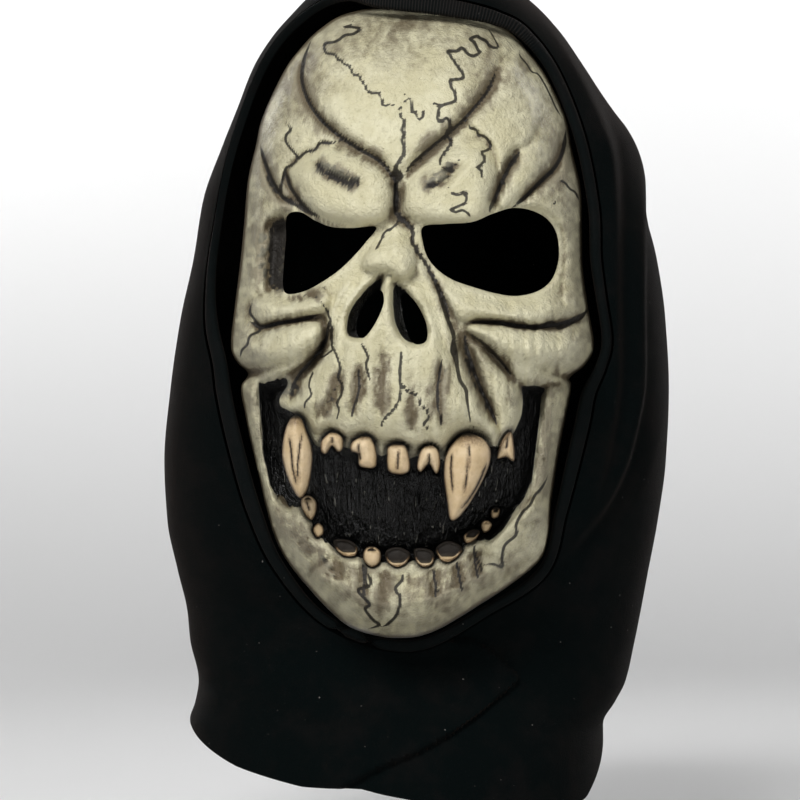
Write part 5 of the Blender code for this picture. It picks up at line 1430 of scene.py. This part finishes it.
def lowest_free(sculpt, across, down, gap):
    """Height just clear of the latex round each chart point."""
    best = sculpt.chart.sample(sculpt.outer, across, down)
    for reach in CLEAR_REACHES:
        for k in range(8):
            dx, dy = reach * math.cos(k * math.pi / 4), reach * math.sin(k * math.pi / 4)
            best = np.maximum(best, sculpt.chart.sample(sculpt.outer, across + dx, down + dy))
    return best + gap


class MASK_OT_teeth(Operator):
    """Models each tooth in its socket, grooved, and darkens it with brown washes and painted shade"""
    bl_idname = "skull_mask.teeth"
    bl_label = "Teeth"

    def execute(self, context):
        sizes, layout, sculpt = context.scene.skull_mask, lay_out(), face_sculpt()
        material = tooth_material(sizes)
        for tooth in TEETH:
            path = curve(tooth.outline, closed=True, step=2.0)
            middle = path.mean(axis=0)
            edge_turn = np.arctan2(middle[1] - path[:, 1], path[:, 0] - middle[0])
            order = np.argsort(edge_turn)
            radius = np.hypot(path[:, 0] - middle[0], path[:, 1] - middle[1])
            grid = FANG_GRID if "fang" in tooth.name else TOOTH_GRID
            body = bmesh.new()
            round_grid(body, grid, grid)
            made = bmesh.ops.extrude_face_region(body, geom=list(body.faces), use_keep_orig=True)
            for vert in new_verts(made):
                vert.co.z += BACK_FLAG
            flat = flat_points(body)
            turn = np.arctan2(flat[:, 1], flat[:, 0])
            share = np.clip(np.hypot(flat[:, 0], flat[:, 1]), 0, 1)
            reach = np.interp(turn, edge_turn[order], radius[order], period=2 * math.pi)
            reach = reach * np.sin(share * math.pi / 2)
            across = middle[0] + reach * np.cos(turn)
            down = middle[1] - reach * np.sin(turn)
            edge, _, _, _ = path_distance(across, down, path, closed=True)
            thick = tooth.thick * sizes.tooth_wall / layout.square
            crest = float(sculpt.chart.sample(sculpt.form, *tooth.gum)) + tooth.lift
            half_width = 0.5 * min(np.ptp(path[:, 0]), np.ptp(path[:, 1]))
            bulge = np.sqrt(1 - (1 - np.clip(edge / half_width, 0, 1)) ** 2)
            back = np.maximum(crest - thick, lowest_free(sculpt, across, down, sizes.fit_gap / layout.square))
            front = crest - min(0.6 * thick, 1.1 * half_width) * (1 - bulge)
            rough = 0.35 * noise(across, down, 3, 9, 41) + 0.2 * noise(across, down, 1.8, 3.0, 42)
            top, foot = path[:, 1].min(), path[:, 1].max()
            level = (down - top) / (foot - top)
            # Darker towards the tooth's edge, where it meets the latex: ink and brown washes with painted
            # shade.
            ink = 0.5 * eased(1 - edge / 1.3)
            wash = 0.7 * eased(1 - edge / 2.6) + 0.12 + 0.12 * noise(across, down, 4, 7, 43)
            for line in tooth.grooves:
                groove = curve(line, closed=False, step=1.5)
                gap, along, _, _ = path_distance(across, down, groove, closed=False)
                fade = np.clip(np.minimum(along, 1 - along) * 5 + 0.2, 0, 1)
                rough = rough - 1.6 * fade * eased(1 - gap / 2.4)
                ink = np.maximum(ink, 0.8 * fade * eased(1.3 - gap / 1.1))
                wash = np.maximum(wash, 0.6 * fade * eased(1.4 - gap / 2.5))
            # Upper teeth darken towards the gum: brown washes and ink with painted shade under the gum's lip.
            # Lower teeth darken from the top down to the share given by bare, deepest in a sunk hollow.
            if tooth.name.startswith("upper"):
                wash = np.maximum(wash, 0.8 * eased(1 - level / 0.25))
                ink = np.maximum(ink, 0.8 * eased(1 - level / 0.10))
            elif tooth.bare > 0:
                hollow = eased((edge - 1.0) / 2.2) * eased((tooth.bare + 0.25 - level) * 5)
                rough = rough - 7.0 * hollow
                wash = np.maximum(wash, eased((tooth.bare - level) * 4 + 0.5))
                ink = np.maximum(ink, np.maximum(hollow, 0.8 * eased((0.8 * tooth.bare - level) * 5 + 0.5)))
            front = np.maximum(front + rough * bulge, back + 0.4)
            is_back = flat[:, 2] > BACK_FLAG / 2
            set_points(body, layout.place(across, down, np.where(is_back, back, front)))
            face_outward(body)
            item = add_piece(tooth.name + "_detailed", body, material)
            set_attribute(item.data, "wash", np.clip(np.where(is_back, 0.9, wash), 0, 1))
            set_attribute(item.data, "ink", np.clip(np.where(is_back, 0.9, ink), 0, 1))
            smooth_shaded(item, 80)
            finish_piece(item, tooth.name)
        return {"FINISHED"}


def smooth_interp(values, knots, results):
    """Smooth values between knots that keeps within them."""
    slopes = np.diff(results) / np.diff(knots)
    tangents = np.zeros_like(results)
    same = slopes[1:] * slopes[:-1] > 0
    tangents[1:-1][same] = 2 * slopes[1:][same] * slopes[:-1][same] / (slopes[1:] + slopes[:-1])[same]
    tangents[0], tangents[-1] = slopes[0], slopes[-1]
    values = np.clip(values, knots[0], knots[-1])
    index = np.clip(np.searchsorted(knots, values) - 1, 0, len(knots) - 2)
    step = knots[index + 1] - knots[index]
    t = (values - knots[index]) / step
    return (results[index] * (1 + 2 * t) * (1 - t) ** 2 + results[index + 1] * t * t * (3 - 2 * t)
            + step * (tangents[index] * t * (1 - t) ** 2 - tangents[index + 1] * t * t * (1 - t)))


def hood_section(layout, rise):
    """Middle, half width, front and back of the hood at heights above the sight line."""
    scale = layout.scale(HOOD_WIDEST * layout.hood_depth)
    rises = [(SIGHT[1] - level.down) * layout.square * scale for level in HOOD_LEVELS][::-1]
    knots = np.array([[level.left, level.right, level.front, level.back] for level in HOOD_LEVELS][::-1])
    columns = [smooth_interp(rise, np.array(rises), knots[:, k]) for k in range(4)]
    left, right, front, back = columns
    side_left = (left - SIGHT[0]) * layout.square * scale
    side_right = (right - SIGHT[0]) * layout.square * scale
    return ((side_left + side_right) / 2, (side_right - side_left) / 2, front * layout.hood_depth,
            -back * layout.hood_depth)


def cloth_toward(layout, across, down):
    """How far the cloth's front stands before the hood's axis at chart points."""
    toward = np.full(np.shape(across), layout.axis_to_edge)
    for _ in range(6):
        square = layout.square * layout.scale(toward)
        middle, half, front, back = hood_section(layout, (SIGHT[1] - down) * square)
        reach = np.clip(np.abs((across - SIGHT[0]) * square - middle) / half, 0, 0.97)
        bulge = (1 - reach ** HOOD_SQUARENESS) ** (1 / HOOD_SQUARENESS)
        toward = (front + back) / 2 + (front - back) / 2 * bulge
    return toward


def fold_lift(across, down):
    """How far the folds and the flap push the cloth out at chart points, in squares."""
    lift = np.zeros(np.shape(across))
    for fold in FOLDS:
        path = curve(fold.line, closed=False, step=8.0)
        distance, along, side, _ = path_distance(across, down, path, closed=False)
        fade = np.clip(np.minimum(along, 1 - along) * 6, 0, 1)
        rising = np.clip(1 - distance / fold.reach, 0, 1) ** 1.5
        dropped = np.clip(distance / fold.drop, 0, 1)
        falling = 1 - (1 + FOLD_DIP) * dropped * dropped * (3 - 2 * dropped)
        falling = np.where(dropped < 1, falling, -FOLD_DIP * np.clip(2 - distance / fold.drop, 0, 1))
        lift += fold.rise * fade * np.where(side > 0, rising, falling)
    path = curve(FLAP_EDGE, closed=False, step=8.0)
    distance, _, side, _ = path_distance(across, down, path, closed=False)
    under = np.clip(1 - distance / FLAP_FADE, 0, 1)
    return lift - FLAP_STEP * under * eased(0.5 - side * distance / FLAP_LIP)


def hood_points(layout, turn, share):
    """Space points of the hood's outer face, by the angle round it and the share of its height."""
    foot = np.interp(turn, [point.turn for point in HOOD_FOOT], [point.down for point in HOOD_FOOT])
    crown = HOOD_LEVELS[0].down
    down = crown + (foot - crown) * share ** CROWN_CROWDING
    rise = (SIGHT[1] - down) * layout.square * layout.scale(HOOD_WIDEST * layout.hood_depth)
    middle, half, front, back = hood_section(layout, rise)
    angle = np.radians(turn)
    power = 2 / HOOD_SQUARENESS
    out_side = half * np.sign(np.sin(angle)) * np.abs(np.sin(angle)) ** power
    out_toward = (front - back) / 2 * np.sign(np.cos(angle)) * np.abs(np.cos(angle)) ** power
    side, toward = middle + out_side, (front + back) / 2 + out_toward
    square = layout.square * layout.scale(toward)
    lift = fold_lift(SIGHT[0] + side / square, SIGHT[1] - rise / square)
    shown = np.clip(out_toward / FOLD_SHOW + 0.5, 0, 1)
    nape = NAPE_WAVE * np.sin(angle * NAPE_WAVES) * np.clip((share - NAPE_FROM) / (1 - NAPE_FROM), 0, 1)
    push = (lift * shown + nape * np.clip(-np.cos(angle), 0, 1)) * layout.square
    push = push * np.clip(share / CROWN_PLAIN, 0, 1)
    length = np.hypot(out_side, out_toward) + 1e-9
    return layout.turned(side + push * out_side / length, toward + push * out_toward / length, rise)


def opening_edges(spread):
    """Inner and outer edges of the hem round the face on the chart, the outer one spread further."""
    turns = np.radians([point.turn for point in FACE_OPENING])
    reach = outline_radius(turns) + [point.clear for point in FACE_OPENING]
    knots = zip(FACE_MIDDLE[0] + reach * np.cos(turns), FACE_MIDDLE[1] - reach * np.sin(turns),
                [point.width for point in FACE_OPENING])
    path = curve(list(knots), closed=True, step=HEM_STEP)
    ahead = np.roll(path, -1, axis=0)[:, :2] - np.roll(path, 1, axis=0)[:, :2]
    out = np.column_stack([-ahead[:, 1], ahead[:, 0]]) / np.hypot(ahead[:, 0], ahead[:, 1])[:, None]
    return path[:, :2], path[:, :2] + out * (path[:, 2] + spread)[:, None]


def cloth_sheet(layout, columns, rows):
    """The hood's outer face as a closed bag, open at its foot."""
    sheet = bmesh.new()
    bmesh.ops.create_grid(sheet, x_segments=columns, y_segments=rows, size=1.0)
    flat = flat_points(sheet)
    turn = flat[:, 0] * 180.0
    turn = turn - FRONT_CROWDING * np.degrees(np.sin(np.radians(turn)))
    level = (1 - flat[:, 1]) / 2
    level = level + FOOT_CROWDING * level * (1 - level)
    set_points(sheet, hood_points(layout, turn, level))
    bmesh.ops.remove_doubles(sheet, verts=sheet.verts, dist=layout.square * 0.1)
    bmesh.ops.recalc_face_normals(sheet, faces=sheet.faces)
    crown = max(sheet.faces, key=lambda face: face.calc_center_median().z)
    if crown.normal.z < 0:
        bmesh.ops.reverse_faces(sheet, faces=sheet.faces)
    return sheet


class MASK_OT_hood(Operator):
    """Drapes the fleece hood with its folds, lapped front and opening for the face"""
    bl_idname = "skull_mask.hood"
    bl_label = "Hood"

    def execute(self, context):
        sizes, layout = context.scene.skull_mask, lay_out()
        sheet = cloth_sheet(layout, HOOD_COLUMNS, HOOD_ROWS)
        mesh = bpy.data.meshes.new("lining")
        inner = cloth_sheet(layout, LINING_TURNS, LINING_LEVELS)
        for vert in inner.verts:
            vert.co -= vert.normal * sizes.cloth_wall
        inner.to_mesh(mesh)
        inner.free()
        sheet.from_mesh(mesh)
        bpy.data.meshes.remove(mesh)
        bmesh.ops.bridge_loops(sheet, edges=[edge for edge in sheet.edges if edge.is_boundary])
        face_outward(sheet)
        item = add_piece("hood_cloth", sheet, fleece_material(sizes))
        _, outer_edge = opening_edges(sizes.fit_gap / layout.square)
        cut_with(item, [prism_cutter("hood_opening", outer_edge, OPENING_FLOOR, layout)])
        smooth_shaded(item, 60)
        finish_piece(item, "hood")
        return {"FINISHED"}


class MASK_OT_hem(Operator):
    """Sews the rolled hem round the face opening, ribbed across the brow"""
    bl_idname = "skull_mask.hem"
    bl_label = "Hem"

    def execute(self, context):
        sizes, layout, sculpt = context.scene.skull_mask, lay_out(), face_sculpt()
        inner_edge, outer_edge = opening_edges(0.0)
        count = len(inner_edge)
        face_path = curve(FACE_OUTLINE, closed=True)
        gap = sizes.fit_gap / layout.square
        edges = []
        for line in (inner_edge, outer_edge):
            height = (cloth_toward(layout, line[:, 0], line[:, 1]) - layout.axis_to_edge) / layout.square
            _, _, _, inside = path_distance(line[:, 0], line[:, 1], face_path, closed=True)
            clear = lowest_free(sculpt, line[:, 0], line[:, 1], gap) + layout.hem_wall * HEM_LEAN
            seated = np.where(inside, np.maximum(height, clear), height)
            height = seated
            for _ in range(HEM_EVENING):
                height = (np.roll(height, 1) + 2 * height + np.roll(height, -1)) / 4
            height = np.where(inside, np.maximum(height, seated), height)
            edges.append(layout.place(line[:, 0], line[:, 1], height))
        along = np.roll(edges[0], -1, axis=0) - np.roll(edges[0], 1, axis=0)
        inward = edges[0] - edges[1]
        normal = np.cross(inward, along)
        normal /= np.linalg.norm(normal, axis=1)[:, None]
        facing = normal @ np.array((math.sin(layout.turn), -math.cos(layout.turn), 0.0))
        normal *= np.sign(facing)[:, None]
        lean = np.sqrt(1 - facing ** 2) / np.maximum(np.abs(facing), 0.2)
        narrowing = inward / np.linalg.norm(inward, axis=1)[:, None] * (sizes.hem_wall / 2 * lean)[:, None]
        edges[0] -= narrowing
        edges[1] += narrowing
        hem = bmesh.new()
        bmesh.ops.create_grid(hem, x_segments=count, y_segments=HEM_SECTION, size=1.0)
        flat = flat_points(hem)
        station = np.round((flat[:, 0] + 1) / 2 * count).astype(int) % count
        angle = (flat[:, 1] + 1) * math.pi
        out = 0.5 + 0.5 * np.sign(np.cos(angle)) * np.abs(np.cos(angle)) ** 0.5
        up = 0.5 * np.sign(np.sin(angle)) * np.abs(np.sin(angle)) ** 0.7
        points = edges[0][station] * (1 - out)[:, None] + edges[1][station] * out[:, None]
        points = points + normal[station] * (sizes.hem_wall * up)[:, None]
        set_points(hem, points)
        strip = hem.loops.layers.uv.new("strip")
        for face in hem.faces:
            for loop in face.loops:
                row = flat[loop.vert.index]
                loop[strip].uv = ((row[0] + 1) / 2, (row[1] + 1) / 2)
        bmesh.ops.remove_doubles(hem, verts=hem.verts, dist=layout.square * 0.02)
        face_outward(hem)
        item = add_piece("hem_band", hem, rib_material(sizes))
        points = mesh_points(item.data)
        across, down, _ = layout.chart_of(points)
        turn = np.degrees(np.arctan2(FACE_MIDDLE[1] - down, across - FACE_MIDDLE[0]))
        set_attribute(item.data, "brow", eased((BROW_REACH - np.abs(turn - BROW_MIDDLE)) / 5.0))
        smooth_shaded(item, 60)
        finish_piece(item, "face_hem")
        return {"FINISHED"}


def add_light(name, place, target, size, power):
    light = bpy.data.lights.new(name, "AREA")
    light.shape = "RECTANGLE"
    light.size, light.size_y = size
    light.energy = power
    light.spread = math.radians(LIGHT_SPREAD)
    item = bpy.data.objects.new(name, light)
    bpy.context.scene.collection.objects.link(item)
    item.location = place
    item.rotation_euler = (Vector(target) - Vector(place)).to_track_quat("-Z", "Y").to_euler()
    return item


class MASK_OT_stage(Operator):
    """Sets up the camera, the pale floor and the studio lights"""
    bl_idname = "skull_mask.stage"
    bl_label = "Stage"

    def execute(self, context):
        stage, layout = context.scene.skull_mask_stage, lay_out()
        low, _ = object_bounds()
        floor = bmesh.new()
        bmesh.ops.create_grid(floor, x_segments=FLOOR_CUTS, y_segments=FLOOR_CUTS, size=FLOOR_REACH)
        for vert in floor.verts:
            behind = max(0.0, vert.co.y - BACKDROP_FROM)
            vert.co.z = low[2] - FLOOR_GAP + BACKDROP_STEEPNESS * behind ** 2
        mesh = bpy.data.meshes.new("floor")
        floor.to_mesh(mesh)
        floor.free()
        mesh.materials.append(new_material("floor_paint", Base_Color=(*stage.floor_color, 1), Roughness=0.9,
                                           Specular_IOR_Level=0.1))
        item = bpy.data.objects.new("floor", mesh)
        context.scene.collection.objects.link(item)
        item.data.shade_smooth()
        item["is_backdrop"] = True
        middle = (0.0, 0.0, (low[2]) / 2)
        add_light("key_light", KEY_PLACE, middle, KEY_SIZE, stage.key_power)
        add_light("fill_light", FILL_PLACE, middle, FILL_SIZE, stage.fill_power)
        for name, place, target, size, power in (
                ("backdrop_light", BACKDROP_PLACE, BACKDROP_TARGET, BACKDROP_SIZE, stage.backdrop_power),
                ("rim_light", RIM_PLACE, middle, RIM_SIZE, stage.rim_power)):
            for side in (-1, 1):
                add_light(name, (side * place[0], *place[1:]), target, size, power)
        context.scene.view_settings.view_transform = "Standard"
        world = bpy.data.worlds.new("surroundings")
        context.scene.world = world
        world.use_nodes = True
        background = world.node_tree.nodes["Background"]
        background.inputs["Color"].default_value = (1.0, 1.0, 1.0, 1.0)
        background.inputs["Strength"].default_value = stage.world_light
        camera = bpy.data.cameras.new("camera")
        camera.lens = stage.camera_lens
        camera.clip_end = CAMERA_REACH
        item = bpy.data.objects.new("camera", camera)
        context.scene.collection.objects.link(item)
        place = layout.turned(np.float64(0.0), stage.camera_distance, np.float64(0.0))
        item.location = Vector([float(value) for value in place])
        item.rotation_euler = (math.pi / 2, 0.0, layout.turn)
        context.scene.camera = item
        return {"FINISHED"}


class MASK_PT_panel(Panel):
    """Sizes, colours and pieces of the mask"""
    bl_idname = "MASK_PT_panel"
    bl_label = "Skull Mask"
    bl_space_type = "VIEW_3D"
    bl_region_type = "UI"
    bl_category = "Skull Mask"

    def draw(self, context):
        for group in (context.scene.skull_mask, context.scene.skull_mask_stage):
            box = self.layout.box()
            for name in group.bl_rna.properties.keys():
                if name not in ("rna_type", "name"):
                    box.prop(group, name)
        for operator in OPERATORS:
            self.layout.operator(operator.bl_idname)


OPERATORS = (MASK_OT_face, MASK_OT_teeth, MASK_OT_hood, MASK_OT_hem, MASK_OT_stage)
CLASSES = (MaskProperties, StageProperties, *OPERATORS, MASK_PT_panel)


def register():
    for item in CLASSES:
        bpy.utils.register_class(item)
    bpy.types.Scene.skull_mask = PointerProperty(type=MaskProperties)
    bpy.types.Scene.skull_mask_stage = PointerProperty(type=StageProperties)


def unregister():
    del bpy.types.Scene.skull_mask_stage
    del bpy.types.Scene.skull_mask
    for item in reversed(CLASSES):
        bpy.utils.unregister_class(item)


def main():
    register()
    bpy.ops.skull_mask.face()
    bpy.ops.skull_mask.teeth()
    bpy.ops.skull_mask.hood()
    bpy.ops.skull_mask.hem()
    bpy.ops.skull_mask.stage()


if __name__ == "__main__":
    main()
